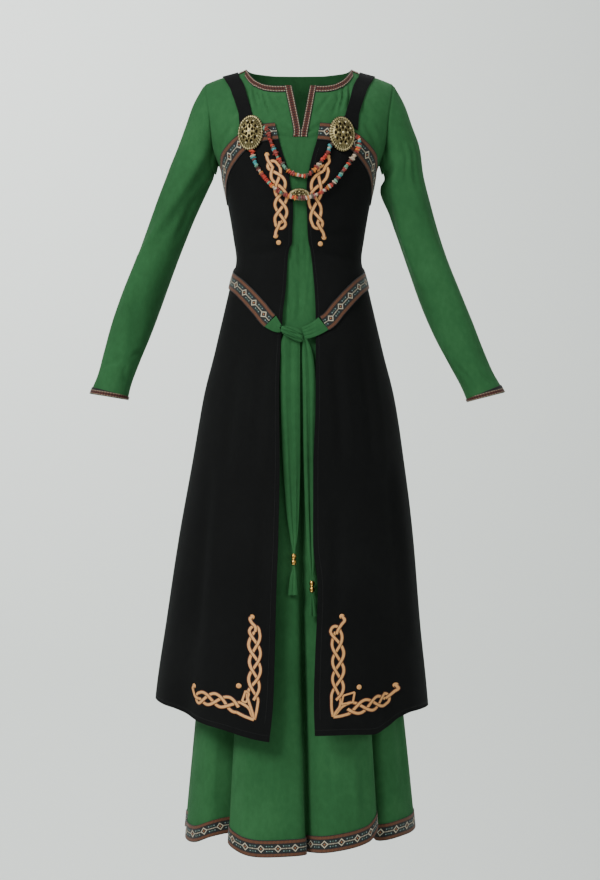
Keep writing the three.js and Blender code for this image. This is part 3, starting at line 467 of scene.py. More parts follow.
# Apron in front and behind, by x and height.
APRON_FRONT_CREASES = [
    ([(-34, -258), (-58, -246), (-84, -222)], 5.0, -1.6),
    ([(-28, -290), (-60, -292), (-96, -280)], 6.0, -1.8),
    ([(-24, -322), (-58, -330), (-100, -330)], 5.0, -1.8),
    ([(28, -258), (60, -252), (92, -232)], 5.0, -1.8),
    ([(24, -292), (60, -300), (98, -292)], 6.0, -1.9),
    ([(28, -326), (64, -336), (102, -340)], 5.0, -1.6),
    ([(-60, -500), (-72, -600), (-80, -720)], 10.0, -3.6),
    ([(-104, -480), (-122, -600), (-134, -740)], 10.0, -3.8),
    ([(-62, -760), (-66, -900), (-70, -1000)], 12.0, -3.0),
    ([(62, -500), (72, -600), (76, -720)], 10.0, -3.4),
    ([(108, -480), (124, -600), (136, -740)], 10.0, -3.8),
    ([(66, -780), (68, -900), (66, -990)], 12.0, -2.8),
    ([(-158, -700), (-172, -860), (-184, -1040)], 10.0, -3.6),
    ([(160, -700), (174, -860), (188, -1040)], 10.0, -3.6),
]
APRON_BACK_CREASES = [
    ([(-70, -250), (-40, -300), (-20, -330)], 6.0, -1.6),
    ([(72, -256), (44, -302), (18, -330)], 6.0, -1.5),
    ([(-90, -300), (-60, -318), (-30, -326)], 5.0, -1.2),
    ([(92, -296), (60, -316), (30, -326)], 5.0, -1.2),
    ([(-58, -470), (-66, -600), (-72, -760)], 10.0, -3.0),
    ([(56, -476), (66, -610), (70, -770)], 10.0, -3.0),
    ([(-118, -480), (-136, -640), (-148, -820)], 10.0, -3.0),
    ([(120, -480), (138, -640), (150, -820)], 10.0, -3.0),
    ([(0, -560), (4, -760), (0, -1000)], 12.0, -2.4),
]


def creased(grid, out, depth):
    """Moves a grid of points along the direction in which its surface faces."""
    facing = unit(np.cross(np.gradient(grid, axis=0), np.gradient(grid, axis=1)))
    away = grid - out(grid)
    facing *= np.where((facing * away).sum(-1, keepdims=True).sum() < 0, -1, 1)
    return grid + facing * depth[..., None]


def trunk_axis(points):
    return points * np.array([0, 0, 1.0])


# ---- skins and walls -------------------------------------------------------------------

def lengths(grid):
    """Millimetres along the rows and up the columns of a grid."""
    along = np.linalg.norm(np.diff(grid, axis=1), axis=-1)
    up = np.linalg.norm(np.diff(grid, axis=0), axis=-1)
    u = np.concatenate([np.zeros((len(grid), 1)), np.cumsum(along, 1)], 1)
    v = np.concatenate([np.zeros((1, grid.shape[1])), np.cumsum(up, 0)], 0)
    return np.stack([u, v], -1)


class Skin:
    """Grids of points that share the points they have in common."""

    def __init__(self):
        self.grids = []

    def add(self, piece, points, axis=trunk_axis, lay=None):
        self.grids.append({"piece": piece, "points": points, "axis": axis,
                           "lay": lengths(points) if lay is None else lay})

    def join(self):
        every = np.concatenate([g["points"].reshape(-1, 3) for g in self.grids])
        self.lay = np.concatenate([g["lay"].reshape(-1, 2) for g in self.grids])
        _, first, self.shared = np.unique(
            np.round(every, 2), axis=0, return_index=True, return_inverse=True)
        self.shared = self.shared.reshape(-1)
        self.points = every[first]
        self.normals = np.zeros_like(self.points)
        start = 0
        for g in self.grids:
            rows, columns = g["points"].shape[:2]
            ids = np.arange(rows * columns).reshape(rows, columns) + start
            quads = np.stack([ids[:-1, :-1], ids[:-1, 1:], ids[1:, 1:], ids[1:, :-1]], -1)
            corners = every[quads]
            facing = np.cross(corners[..., 2, :] - corners[..., 0, :],
                              corners[..., 3, :] - corners[..., 1, :])
            middle = corners.mean(-2)
            if (facing * (middle - g["axis"](middle))).sum() < 0:
                quads, facing = quads[..., ::-1], -facing
            g["quads"] = quads
            for corner in range(4):
                np.add.at(self.normals, self.shared[quads[..., corner]], facing)
            start += rows * columns
        self.normals = unit(self.normals)
        return self

    def ids(self, number):
        """The shared points of one grid, laid out as its rows and columns."""
        start = sum(g["points"][..., 0].size for g in self.grids[:number])
        shape = self.grids[number]["points"].shape[:2]
        return self.shared[start:start + shape[0] * shape[1]].reshape(shape)

    def draw_in(self, ids, depth):
        """Sinks the cloth along a seam."""
        ids = np.unique(ids)
        self.points[ids] -= self.normals[ids] * depth

    def wall(self, name, choose, start, end, finish, lay=None):
        """The wall of the chosen cells between two distances from the skin."""
        picked = []
        for g in self.grids:
            mask = choose(g)
            if mask is False:
                continue
            quads = g["quads"]
            picked.append(quads.reshape(-1, 4) if mask is True else quads[mask])
        raw = np.concatenate(picked)
        quads = self.shared[raw]
        used, place = np.unique(quads, return_inverse=True)
        place = place.reshape(-1, 4)
        count = len(used)
        a, b = place.reshape(-1), np.roll(place, -1, axis=1).reshape(-1)
        raw_a, raw_b = raw.reshape(-1), np.roll(raw, -1, axis=1).reshape(-1)
        real = a != b
        a, b, raw_a, raw_b = a[real], b[real], raw_a[real], raw_b[real]
        rim = ~np.isin(a * count + b, b * count + a)
        a, b, raw_a, raw_b = a[rim], b[rim], raw_a[rim], raw_b[rim]
        points, normals = self.points[used], self.normals[used]
        verts = np.concatenate([points + normals * end, points + normals * start])
        faces = np.concatenate([
            place, (place + count)[:, ::-1], np.stack([b, a, a + count, b + count], -1)])
        source = np.concatenate([raw, raw[:, ::-1], np.stack([raw_b, raw_a, raw_a, raw_b], -1)])
        where = self.lay if lay is None else lay
        return mesh_piece(name, verts, faces, finish, where[source])


def mesh_piece(name, verts, faces, finish, lay=None, smooth=50, values=None):
    """A mesh object from points in millimetres; lay is the flat place of each corner."""
    kept, corners = [], []
    for k, face in enumerate(faces.tolist() if hasattr(faces, "tolist") else faces):
        order = [c for c in range(len(face)) if face[c] != face[c - 1]]
        if len(order) > 2:
            kept.append([face[c] for c in order])
            if lay is not None:
                corners.append(lay[k][order])
    mesh = bpy.data.meshes.new(name)
    mesh.from_pydata((np.asarray(verts) * MM).tolist(), [], kept)
    if lay is not None:
        layer = mesh.uv_layers.new(name="lay")
        layer.data.foreach_set("uv", np.concatenate(corners).astype(np.float32).ravel())
    for label, data in (values or {}).items():
        attribute = mesh.attributes.new(label, "FLOAT", "POINT")
        attribute.data.foreach_set("value", np.asarray(data, np.float32))
    mesh.shade_smooth()
    if smooth < 180:
        mesh.set_sharp_from_angle(angle=math.radians(smooth))
    mesh.materials.append(finish)
    mesh.update()
    piece = bpy.data.objects.new(name, mesh)
    bpy.context.scene.collection.objects.link(piece)
    return piece


def dress(piece, slot, *nodes):
    """The piece rides on the garment and stands for its solids, which it hides; the slot is not used."""
    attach(piece, "root")
    if nodes:
        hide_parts(*nodes)
    return piece


def ribbon_grid(surface, route, offsets):
    """Strips laid across a route on a surface of two parameters; offsets in millimetres."""
    step = 0.002
    a, b = np.array(route, float).T
    point = surface(a, b)
    by_a = (surface(a + step, b) - surface(a - step, b)) / (2 * step)
    by_b = (surface(a, b + step) - surface(a, b - step)) / (2 * step)
    along = unit(np.gradient(point, axis=0))
    across = unit(np.cross(unit(np.cross(by_a, by_b)), along))
    aa, ab, bb = (by_a * by_a).sum(-1), (by_a * by_b).sum(-1), (by_b * by_b).sum(-1)
    wide = aa * bb - ab * ab
    share_a = ((across * by_a).sum(-1) * bb - (across * by_b).sum(-1) * ab) / wide
    share_b = ((across * by_b).sum(-1) * aa - (across * by_a).sum(-1) * ab) / wide
    offsets = np.asarray(offsets, float)
    return surface(a[:, None] + share_a[:, None] * offsets,
                   b[:, None] + share_b[:, None] * offsets)


def ribbon(name, grid, start, end, finish, lay=None, axis=trunk_axis):
    skin = Skin()
    skin.add("strip", grid, axis, lay)
    return skin.join().wall(name, lambda g: True, start, end, finish)


# ---- finishes --------------------------------------------------------------------------

def linear(colour):
    """Screen colour from 0 to 255 to the shader's linear colour."""
    c = np.array(colour) / 255
    c = np.where(c <= 0.04045, c / 12.92, ((c + 0.055) / 1.055) ** 2.4)
    return (*c.tolist(), 1.0)


class Finish:
    """A material's nodes, with short names for the ones that the finishes share."""

    def __init__(self, name, colour, **settings):
        self.material = bpy.data.materials.new(name)
        self.material.use_nodes = True
        self.tree = self.material.node_tree
        self.body = self.tree.nodes["Principled BSDF"]
        self.body.inputs["Base Color"].default_value = linear(colour)
        for label, value in settings.items():
            self.body.inputs[label.replace("_", " ").title()].default_value = value
        self.material.diffuse_color = linear(colour)

    def node(self, kind, inputs=(), **settings):
        made = self.tree.nodes.new("ShaderNode" + kind)
        for label, value in settings.items():
            setattr(made, label, value)
        for socket, value in dict(inputs).items():
            self.put(made.inputs[socket], value)
        return made

    def put(self, socket, value):
        if isinstance(value, bpy.types.NodeSocket):
            self.tree.links.new(value, socket)
        elif value is not None:
            socket.default_value = value

    def math(self, operation, first, second=None, third=None):
        made = self.node("Math", operation=operation)
        for place, value in enumerate((first, second, third)):
            self.put(made.inputs[place], value)
        return made.outputs[0]

    def between(self, value, low, high):
        """1 where the value lies between low and high."""
        above = self.math("GREATER_THAN", value, low)
        return self.math("MULTIPLY", above, self.math("LESS_THAN", value, high))

    def either(self, first, second):
        return self.math("MAXIMUM", first, second)

    def blend(self, share, first, second, kind="MIX"):
        made = self.node("Mix", data_type="RGBA", blend_type=kind)
        self.put(made.inputs[0], share)
        for socket, value in ((made.inputs[6], first), (made.inputs[7], second)):
            is_colour = isinstance(value, tuple) and len(value) == 3
            self.put(socket, linear(value) if is_colour else value)
        return made.outputs[2]

    def lay(self):
        """Millimetres along and across the cloth."""
        where = self.node("UVMap", uv_map="lay").outputs[0]
        parts = self.node("SeparateXYZ", {0: where})
        return parts.outputs[0], parts.outputs[1]

    def noise(self, scale, detail=2.0, rough=0.5, stretch=None):
        where = self.node("TexCoord").outputs["Object"]
        if stretch:
            where = self.node("Mapping", {"Vector": where, "Scale": stretch}).outputs[0]
        made = self.node("TexNoise", {"Vector": where, "Scale": scale, "Detail": detail,
                                      "Roughness": rough})
        return made.outputs[0]

    def ramp(self, value, stops, sharp=False):
        made = self.node("ValToRGB", {0: value})
        made.color_ramp.interpolation = "CONSTANT" if sharp else "LINEAR"
        elements = made.color_ramp.elements
        while len(elements) < len(stops):
            elements.new(0.5)
        for element, (place, colour) in zip(elements, stops):
            element.position = place
            element.color = linear(colour)
        return made.outputs[0]

    def bump(self, height, distance, strength=1.0):
        made = self.node("Bump", {"Height": height, "Distance": distance, "Strength": strength})
        self.put(self.body.inputs["Normal"], made.outputs[0])

    def paint(self, colour):
        self.put(self.body.inputs["Base Color"], colour)


def woven(finish, pitch, slub):
    """Height of a plain weave with uneven threads, from 0 to about 1."""
    u, v = finish.lay()
    warp = finish.math("SINE", finish.math("MULTIPLY", u, 2 * math.pi / pitch))
    weft = finish.math("SINE", finish.math("MULTIPLY", v, 2 * math.pi / pitch))
    cross = finish.math("MULTIPLY", warp, weft)
    uneven = finish.noise(slub, 3.0, 0.6, (1.0, 1.0, 0.22))
    return finish.math("MULTIPLY_ADD", cross, 0.3, uneven)


def plain_cloth(name, deep, mid, pale, roughness, sheen, tint, pitch):
    finish = Finish(name, mid, roughness=roughness, sheen_weight=sheen, sheen_roughness=0.5)
    finish.body.inputs["Sheen Tint"].default_value = linear(tint)
    finish.body.inputs["Specular IOR Level"].default_value = 0.18
    broad = finish.noise(5.0, 3.0, 0.55)
    fine = finish.noise(120.0, 2.0, 0.6, (1.0, 1.0, 0.6))
    mottled = finish.math("MULTIPLY_ADD", fine, 0.25, finish.math("MULTIPLY", broad, 0.75))
    finish.paint(finish.ramp(mottled, [(0.3, deep), (0.5, mid), (0.72, pale)]))
    finish.bump(woven(finish, pitch, 420.0), 0.00035, 0.5)
    return finish.material


def wide_trim_cloth():
    """A woven band: cream diamonds on a dark ground between striped copper borders."""
    f = Finish("wide_trim_weave", (70, 52, 40), roughness=0.78, sheen_weight=0.15,
               sheen_roughness=0.5)
    u, v = f.lay()
    pitch = 30.0
    from_middle = f.math("ABSOLUTE", f.math("SUBTRACT", v, 15.0))
    share = f.math("FRACT", f.math("DIVIDE", u, pitch))
    along = f.math("ABSOLUTE", f.math("MULTIPLY", f.math("SUBTRACT", share, 0.5), pitch))
    diamond = f.math("ADD", along, from_middle)
    speckle = f.math("FRACT", f.math("MULTIPLY_ADD", f.math("FLOOR", u), 0.37,
                                     f.math("MULTIPLY", f.math("FLOOR", v), 0.61)))
    ground = f.ramp(speckle, [(0.0, (12, 17, 18)), (0.42, (22, 36, 36)), (0.72, (9, 10, 12))], True)
    copper = f.between(f.math("FRACT", f.math("DIVIDE", u, 2.3)), 0.42, 1.1)
    border = f.blend(copper, (24, 12, 8), (120, 68, 36))
    colour = f.blend(f.between(from_middle, 8.6, 13.7), ground, border)
    edge = f.either(f.between(from_middle, 7.6, 8.7), f.between(from_middle, 13.6, 20.0))
    colour = f.blend(edge, colour, (16, 16, 17))
    thread = f.blend(f.between(from_middle, 10.8, 11.5), colour, (96, 62, 42))
    ring = f.between(diamond, 4.6, 6.9)
    knots = f.between(f.math("FRACT", f.math("DIVIDE", along, 2.2)), 0.3, 0.86)
    chain = f.math("MULTIPLY", f.math("MULTIPLY", knots, f.between(along, 7.0, 15.1)),
                   f.between(from_middle, -1.0, 0.9))
    cream = f.blend(f.noise(1400.0), (160, 150, 126), (214, 204, 180))
    colour = f.blend(f.either(ring, chain), thread, cream)
    colour = f.blend(f.between(diamond, -1.0, 1.9), colour, (150, 96, 58))
    dx = f.math("SUBTRACT", along, 10.2)
    dy = f.math("SUBTRACT", from_middle, 4.4)
    dot = f.math("ADD", f.math("MULTIPLY", dx, dx), f.math("MULTIPLY", dy, dy))
    colour = f.blend(f.between(dot, -1.0, 1.0), colour, (132, 160, 158))
    dx = f.math("SUBTRACT", along, 14.0)
    dot = f.math("ADD", f.math("MULTIPLY", dx, dx), f.math("MULTIPLY", dy, dy))
    colour = f.blend(f.between(dot, -1.0, 0.8), colour, (72, 104, 92))
    f.paint(colour)
    f.bump(woven(f, 0.9, 900.0), 0.0004, 0.6)
    return f.material


def narrow_trim_cloth():
    """A woven braid: rust ground, dark diamonds, cream points inside black edges."""
    f = Finish("narrow_trim_weave", (80, 50, 38), roughness=0.82, sheen_weight=0.06,
               sheen_roughness=0.5)
    u, v = f.lay()
    across = f.math("ABSOLUTE", f.math("SUBTRACT", v, 0.5))
    pitch = 5.0
    step = f.math("ABSOLUTE", f.math("SUBTRACT", f.math("FRACT", f.math("DIVIDE", u, pitch)), 0.5))
    diamond = f.math("ADD", f.math("MULTIPLY", step, 2.0), f.math("MULTIPLY", across, 3.6))
    colour = f.blend(f.between(diamond, 0.9, 1.3), (12, 8, 9), (112, 46, 28))
    rim = f.math("SUBTRACT", 0.5, step)
    point = f.math("LESS_THAN", rim, f.math("MULTIPLY_ADD", across, 3.0, -0.72))
    speck = f.math("MULTIPLY", point, f.between(across, 0.25, 0.385))
    colour = f.blend(speck, colour, (176, 162, 138))
    colour = f.blend(f.between(across, 0.385, 2.0), colour, (10, 8, 9))
    f.paint(colour)
    f.bump(woven(f, 0.8, 900.0), 0.0003, 0.5)
    return f.material


def embroidery_thread():
    """Satin stitches across each strand, with a darker outline."""
    f = Finish("plait_embroidery", (226, 156, 92), roughness=0.55, sheen_weight=0.1,
               sheen_roughness=0.4)
    u, v = f.lay()
    ply = f.math("SINE", f.math("MULTIPLY", u, 2 * math.pi / 0.8))
    uneven = f.noise(160.0, 3.0)
    colour = f.blend(uneven, (224, 146, 76), (246, 192, 122))
    edge = f.between(f.math("ABSOLUTE", v), 0.62, 2.0)
    f.paint(f.blend(edge, colour, (84, 36, 12)))
    f.bump(f.math("MULTIPLY_ADD", ply, 0.5, uneven), 0.0002, 0.6)
    return f.material


def cast_bronze():
    f = Finish("cast_bronze", (150, 132, 84), metallic=0.92, roughness=0.42)
    # The colour follows the relief attribute as painted light: painted shade where it is low, in the
    # pierced holes and rim grooves, and painted highlights where it is high, on the studs, rope and rim
    # ridges. A random mottle of the metal lies over it.
    relief = f.node("Attribute", attribute_name="relief").outputs["Fac"]
    mottle_and_painted_light = f.math("MULTIPLY_ADD", f.noise(260.0, 4.0, 0.65), 0.36, f.math("SUBTRACT", relief, 0.18))
    f.paint(f.ramp(mottle_and_painted_light, [(0.1, (26, 22, 13)), (0.4, (88, 78, 48)), (0.66, (146, 134, 92)),
                          (0.92, (226, 214, 168))]))
    f.put(f.body.inputs["Roughness"], f.math("MULTIPLY_ADD", f.noise(420.0), 0.25, 0.28))
    f.bump(f.noise(900.0, 3.0), 0.0002, 0.35)
    return f.material


def bright_gold():
    f = Finish("bright_gold", (212, 164, 82), metallic=1.0, roughness=0.28)
    f.paint(f.blend(f.noise(300.0, 3.0), (176, 124, 52), (232, 192, 112)))
    f.bump(f.noise(600.0, 2.0), 0.0002, 0.3)
    return f.material


CHIP_COLOURS = [
    (132, 0, 8), (190, 12, 6), (24, 166, 172), (206, 116, 8), (160, 40, 40),
    (210, 190, 166), (74, 62, 58), (100, 168, 142), (96, 0, 14), (222, 48, 6),
    (138, 0, 10), (180, 160, 134), (44, 18, 24),
]


def stone_chips():
    f = Finish("stone_chips", (160, 60, 50), roughness=0.34)
    tint = f.node("Attribute", attribute_name="tint").outputs["Fac"]
    stops = [(k / len(CHIP_COLOURS), colour) for k, colour in enumerate(CHIP_COLOURS)]
    veins = f.noise(700.0, 3.0, 0.6)
    f.paint(f.blend(f.math("MULTIPLY", veins, 0.16), f.ramp(tint, stops, True), (236, 214, 190)))
    f.bump(f.noise(900.0, 2.0), 0.0002, 0.4)
    return f.material


def cotton_thread(name, colour):
    f = Finish(name, colour, roughness=0.7, sheen_weight=0.2)
    darker = tuple(int(c * 0.7) for c in colour)
    f.paint(f.blend(f.noise(800.0, 2.0), darker, colour))
    f.bump(f.noise(1800.0, 2.0), 0.0002, 0.4)
    return f.material


GREEN = plain_cloth("green_cloth", (38, 84, 47), (46, 97, 56), (58, 111, 67), 0.86, 0.08,
                    (130, 180, 140), 0.75)
BLACK = plain_cloth("black_cloth", (9, 10, 10), (12, 13, 13), (17, 18, 18), 0.9, 0.03,
                    (120, 126, 130), 0.7)
WIDE = wide_trim_cloth()
NARROW = narrow_trim_cloth()
THREAD = embroidery_thread()
BRONZE = cast_bronze()
GOLD = bright_gold()
CHIPS = stone_chips()
BLACK_THREAD = cotton_thread("black_thread", (18, 18, 19))


# ---- geometry nodes for what repeats ---------------------------------------------------

class Growth:
    """A geometry node tree with named inputs, run once on a guide mesh."""

    def __init__(self, name, inputs):
        self.tree = bpy.data.node_groups.new(name, "GeometryNodeTree")
        face = self.tree.interface
        face.new_socket(name="Guide", in_out="INPUT", socket_type="NodeSocketGeometry")
        self.ids = {}
        for label, kind in inputs:
            self.ids[label] = face.new_socket(
                name=label, in_out="INPUT", socket_type="NodeSocket" + kind).identifier
        face.new_socket(name="Result", in_out="OUTPUT", socket_type="NodeSocketGeometry")
        self.entry = self.tree.nodes.new("NodeGroupInput")
        self.exit = self.tree.nodes.new("NodeGroupOutput")

    def given(self, label):
        return self.entry.outputs[label]

    def node(self, kind, inputs=(), **settings):
        made = self.tree.nodes.new(kind)
        for label, value in settings.items():
            setattr(made, label, value)
        for socket, value in dict(inputs).items():
            if isinstance(value, bpy.types.NodeSocket):
                self.tree.links.new(value, made.inputs[socket])
            else:
                made.inputs[socket].default_value = value
        return made

    def points_along(self):
        """Evenly spaced points along the guide's lines."""
        curve = self.node("GeometryNodeMeshToCurve", {0: self.given("Guide")})
        spaced = self.node("GeometryNodeResampleCurve",
                           {0: curve.outputs[0], "Length": self.given("Spacing")}, mode="LENGTH")
        return self.node("GeometryNodeCurveToPoints", {0: spaced.outputs[0]}, mode="EVALUATED")

    def finish(self, instances):
        real = self.node("GeometryNodeRealizeInstances", {0: instances})
        named = self.node("GeometryNodeSetMaterial", {0: real.outputs[0],
                                                      "Material": self.given("Finish")})
        self.tree.links.new(named.outputs[0], self.exit.inputs[0])

    def grow(self, name, guide, values, smooth=False):
        modifier = guide.modifiers.new(self.tree.name, "NODES")
        modifier.node_group = self.tree
        for label, value in values.items():
            modifier[self.ids[label]] = value
        depsgraph = bpy.context.evaluated_depsgraph_get()
        mesh = bpy.data.meshes.new_from_object(
            guide.evaluated_get(depsgraph), preserve_all_data_layers=True, depsgraph=depsgraph)
        bpy.data.objects.remove(guide)
        mesh.name = name
        if smooth:
            mesh.shade_smooth()
        piece = bpy.data.objects.new(name, mesh)
        bpy.context.scene.collection.objects.link(piece)
        return piece


def guide_object(mesh):
    guide = bpy.data.objects.new("guide", mesh)
    bpy.context.scene.collection.objects.link(guide)
    return guide


def guide_lines(lines):
    """A mesh of edges along each line of points, in millimetres."""
    verts, edges = [], []
    for line in lines:
        edges += [(len(verts) + k, len(verts) + k + 1) for k in range(len(line) - 1)]
        verts += (np.asarray(line) * MM).tolist()
    mesh = bpy.data.meshes.new("guide")
    mesh.from_pydata(verts, edges, [])
    return guide_object(mesh)


def guide_points(points, facings, sizes):
    mesh = bpy.data.meshes.new("guide")
    mesh.from_pydata((np.asarray(points) * MM).tolist(), [], [])
    facing = mesh.attributes.new("facing", "FLOAT_VECTOR", "POINT")
    facing.data.foreach_set("vector", np.asarray(facings, np.float32).ravel())
    size = mesh.attributes.new("size", "FLOAT", "POINT")
    size.data.foreach_set("value", np.asarray(sizes, np.float32) * MM)
    return guide_object(mesh)


def chips_growth():
    """Tumbled chips threaded along each line, every one turned, sized and tinted anew."""
    g = Growth("chips_along", [("Spacing", "Float"), ("Smallest", "Vector"), ("Largest", "Vector"),
                               ("Roughness", "Float"), ("Seed", "Int"), ("Finish", "Material")])
    points = g.points_along()
    stone = g.node("GeometryNodeMeshIcoSphere", {"Radius": 1.0, "Subdivisions": 2})
    lumps = g.node("ShaderNodeTexNoise", {"Scale": 1.3, "Detail": 1.0})
    centred = g.node("ShaderNodeVectorMath", {0: lumps.outputs[1], 1: (0.5, 0.5, 0.5)},
                     operation="SUBTRACT")
    pushed = g.node("ShaderNodeVectorMath", {0: centred.outputs[0], "Scale": g.given("Roughness")},
                    operation="SCALE")
    lumpy = g.node("GeometryNodeSetPosition", {0: stone.outputs[0], "Offset": pushed.outputs[0]})
    size = g.node("FunctionNodeRandomValue", {0: g.given("Smallest"), 1: g.given("Largest"),
                                              "Seed": g.given("Seed")}, data_type="FLOAT_VECTOR")
    placed = g.node("GeometryNodeInstanceOnPoints", {
        0: points.outputs[0], "Instance": lumpy.outputs[0],
        "Rotation": points.outputs["Rotation"], "Scale": size.outputs[0]})
    turn = g.node("FunctionNodeRandomValue", {0: (-0.3, -0.3, 0.0), 1: (0.3, 0.3, 6.28),
                                              "Seed": g.given("Seed")}, data_type="FLOAT_VECTOR")
    turned = g.node("GeometryNodeRotateInstances",
                    {0: placed.outputs[0], "Rotation": turn.outputs[0]})
    pick = g.node("FunctionNodeRandomValue", {2: 0.0, 3: 1.0, "Seed": g.given("Seed")},
                  data_type="FLOAT")
    tinted = g.node("GeometryNodeStoreNamedAttribute", {
        0: turned.outputs[0], "Name": "tint", "Value": pick.outputs[1]},
        data_type="FLOAT", domain="INSTANCE")
    g.finish(tinted.outputs[0])
    return g


def grains_growth():
    """Small rounded grains along each line: stitches, rope borders and twisted wire."""
    g = Growth("grains_along", [("Spacing", "Float"), ("Size", "Vector"), ("Tilt", "Vector"),
                                ("Finish", "Material")])
    points = g.points_along()
    grain = g.node("GeometryNodeMeshIcoSphere", {"Radius": 1.0, "Subdivisions": 1})
    placed = g.node("GeometryNodeInstanceOnPoints", {
        0: points.outputs[0], "Instance": grain.outputs[0],
        "Rotation": points.outputs["Rotation"], "Scale": g.given("Size")})
    turned = g.node("GeometryNodeRotateInstances",
                    {0: placed.outputs[0], "Rotation": g.given("Tilt")})
    g.finish(turned.outputs[0])
    return g


def studs_growth():
    """Domed studs on points, each facing the way that its point says."""
    g = Growth("studs_on_points", [("Height", "Float"), ("Finish", "Material")])
    stud = g.node("GeometryNodeMeshUVSphere", {"Segments": 12, "Rings": 6, "Radius": 1.0})
    facing = g.node("GeometryNodeInputNamedAttribute", {"Name": "facing"}, data_type="FLOAT_VECTOR")
    size = g.node("GeometryNodeInputNamedAttribute", {"Name": "size"}, data_type="FLOAT")
    turned = g.node("FunctionNodeAlignRotationToVector", {"Vector": facing.outputs[0]}, axis="Z")
    flat = g.node("ShaderNodeMath", {0: size.outputs[0], 1: g.given("Height")},
                  operation="MULTIPLY")
    scale = g.node("ShaderNodeCombineXYZ",
                   {0: size.outputs[0], 1: size.outputs[0], 2: flat.outputs[0]})
    placed = g.node("GeometryNodeInstanceOnPoints", {
        0: g.given("Guide"), "Instance": stud.outputs[0], "Rotation": turned.outputs[0],
        "Scale": scale.outputs[0]})
    g.finish(placed.outputs[0])
    return g


CHIPS_ALONG = chips_growth()
GRAINS_ALONG = grains_growth()
STUDS = studs_growth()


# ---- camera ----------------------------------------------------------------------------

def camera_in_front():
    data = bpy.data.cameras.new("camera")
    data.lens = 112.4
    data.sensor_width = 36.0
    data.clip_end = 50
    eye = bpy.data.objects.new("camera", data)
    eye.location = (0.002, -5.0, -0.664)
    eye.rotation_euler = (math.radians(90), 0, 0)
    bpy.context.scene.collection.objects.link(eye)
    bpy.context.scene.camera = eye


camera_in_front()

# ---- strands between the brooches ------------------------------------------------------

BROOCHES = {"right": (-85.5, -116.0), "left": (76.5, -118.5)}
STRANDS = {
    "upper": {
        "start": ("right", 12), "end": ("left", 218),
        "points": [(-54, -118), (-49, -135), (-34, -167), (-15, -189), (0, -194), (12.5, -195),
                   (28.5, -183), (41, -166), (51, -153)],
    },
    "lower": {
        "start": ("right", 278), "end": ("left", -8),
        "points": [(-79, -163), (-73, -177), (-62, -194), (-44, -214), (-22, -228), (0.9, -232.5),
                   (23, -230), (43, -220), (64, -202), (83, -176), (96, -157), (103.5, -143),
                   (106, -132)],
    },
}


def rim_points(brooch, rim):
    x, z = BROOCHES[brooch]
    out = unit(np.array([cos_of(rim) / BROOCH["width"], sin_of(rim) / BROOCH["height"]]))
    foot = np.array([x + BROOCH["width"] * cos_of(rim), z + BROOCH["height"] * sin_of(rim)])
    return [foot + out * gap for gap in (1, 4)]


def through(points, steps):
    """A smooth line through the points, with the same number of steps in every gap."""
    p = np.array(points, float)
    p = np.concatenate([2 * p[:1] - p[1:2], p, 2 * p[-1:] - p[-2:-1]])
    line = []
    for k in range(1, len(p) - 2):
        gaps = [np.linalg.norm(p[k + j] - p[k + j - 1]) ** 0.5 for j in (0, 1, 2)]
        m1 = gaps[1] * ((p[k] - p[k - 1]) / gaps[0] - (p[k + 1] - p[k - 1]) / (gaps[0] + gaps[1])) \
            + (p[k + 1] - p[k])
        m2 = gaps[1] * ((p[k + 2] - p[k + 1]) / gaps[2] - (p[k + 2] - p[k]) / (gaps[1] + gaps[2])) \
            + (p[k + 1] - p[k])
        for step in range(steps):
            t = step / steps
            line.append((2 * t ** 3 - 3 * t * t + 1) * p[k] + (t ** 3 - 2 * t * t + t) * m1
                        + (3 * t * t - 2 * t ** 3) * p[k + 1] + (t ** 3 - t * t) * m2)
    return np.array(line + [p[-2]])


def strand_line(name):
    strand = STRANDS[name]
    ends = [rim_points(*strand[key]) for key in ("start", "end")]
    flat = np.array([*ends[0], *strand["points"], *ends[1][::-1]])
    point, facing = chest_place(flat[:, 0], flat[:, 1])
    over = 4.5 * np.exp(-((flat[:, 0] - MEDALLION["x"]) / 15) ** 2) * (name == "lower")
    return through(point + facing * (STRAND_LIFT + over)[:, None], 8)


def bead_strand(name, seed):
    line = strand_line(name)
    strand = CHIPS_ALONG.grow(f"chip_strand_{name}", guide_lines([line]), {
        "Spacing": 3.9 * MM, "Smallest": (3.2 * MM, 2.7 * MM, 1.6 * MM),
        "Largest": (6.0 * MM, 5.0 * MM, 2.9 * MM), "Roughness": 1.2, "Seed": seed, "Finish": CHIPS})
    dress(strand, "stone_beads", f"bead_strand_{name}")
    return strand


bead_strand("upper", 11)
bead_strand("lower", 4)


# ---- underdress ------------------------------------------------------------------------

FRONT_SHARES, FRONT_GAP = finer(FRONT_COLUMNS.places, [4, 5, 5, 5, 5, 5, 5, 4, 5, 7, 7, 7])
BACK_SHARES, BACK_GAP = finer(BACK_COLUMNS.places, [7, 8, 7, 6, 5, 4, 5, 7, 7, 7])
FINE_YOKE, YOKE_GAP = finer(YOKE_ROWS, [6, 5, 4, 6, 6, 5, 5, 6, 6])
SKIRT_LEVELS = finer([UNDERARM] + BODY_LEVELS,
                     [4, 5, 6, 4, 4, 4, 4, 7, 8, 9, 11, 12, 12, 11, 8, 7, 6, 6, 4])[0]
SKIRT_ROWS = len(SKIRT_LEVELS) - 1


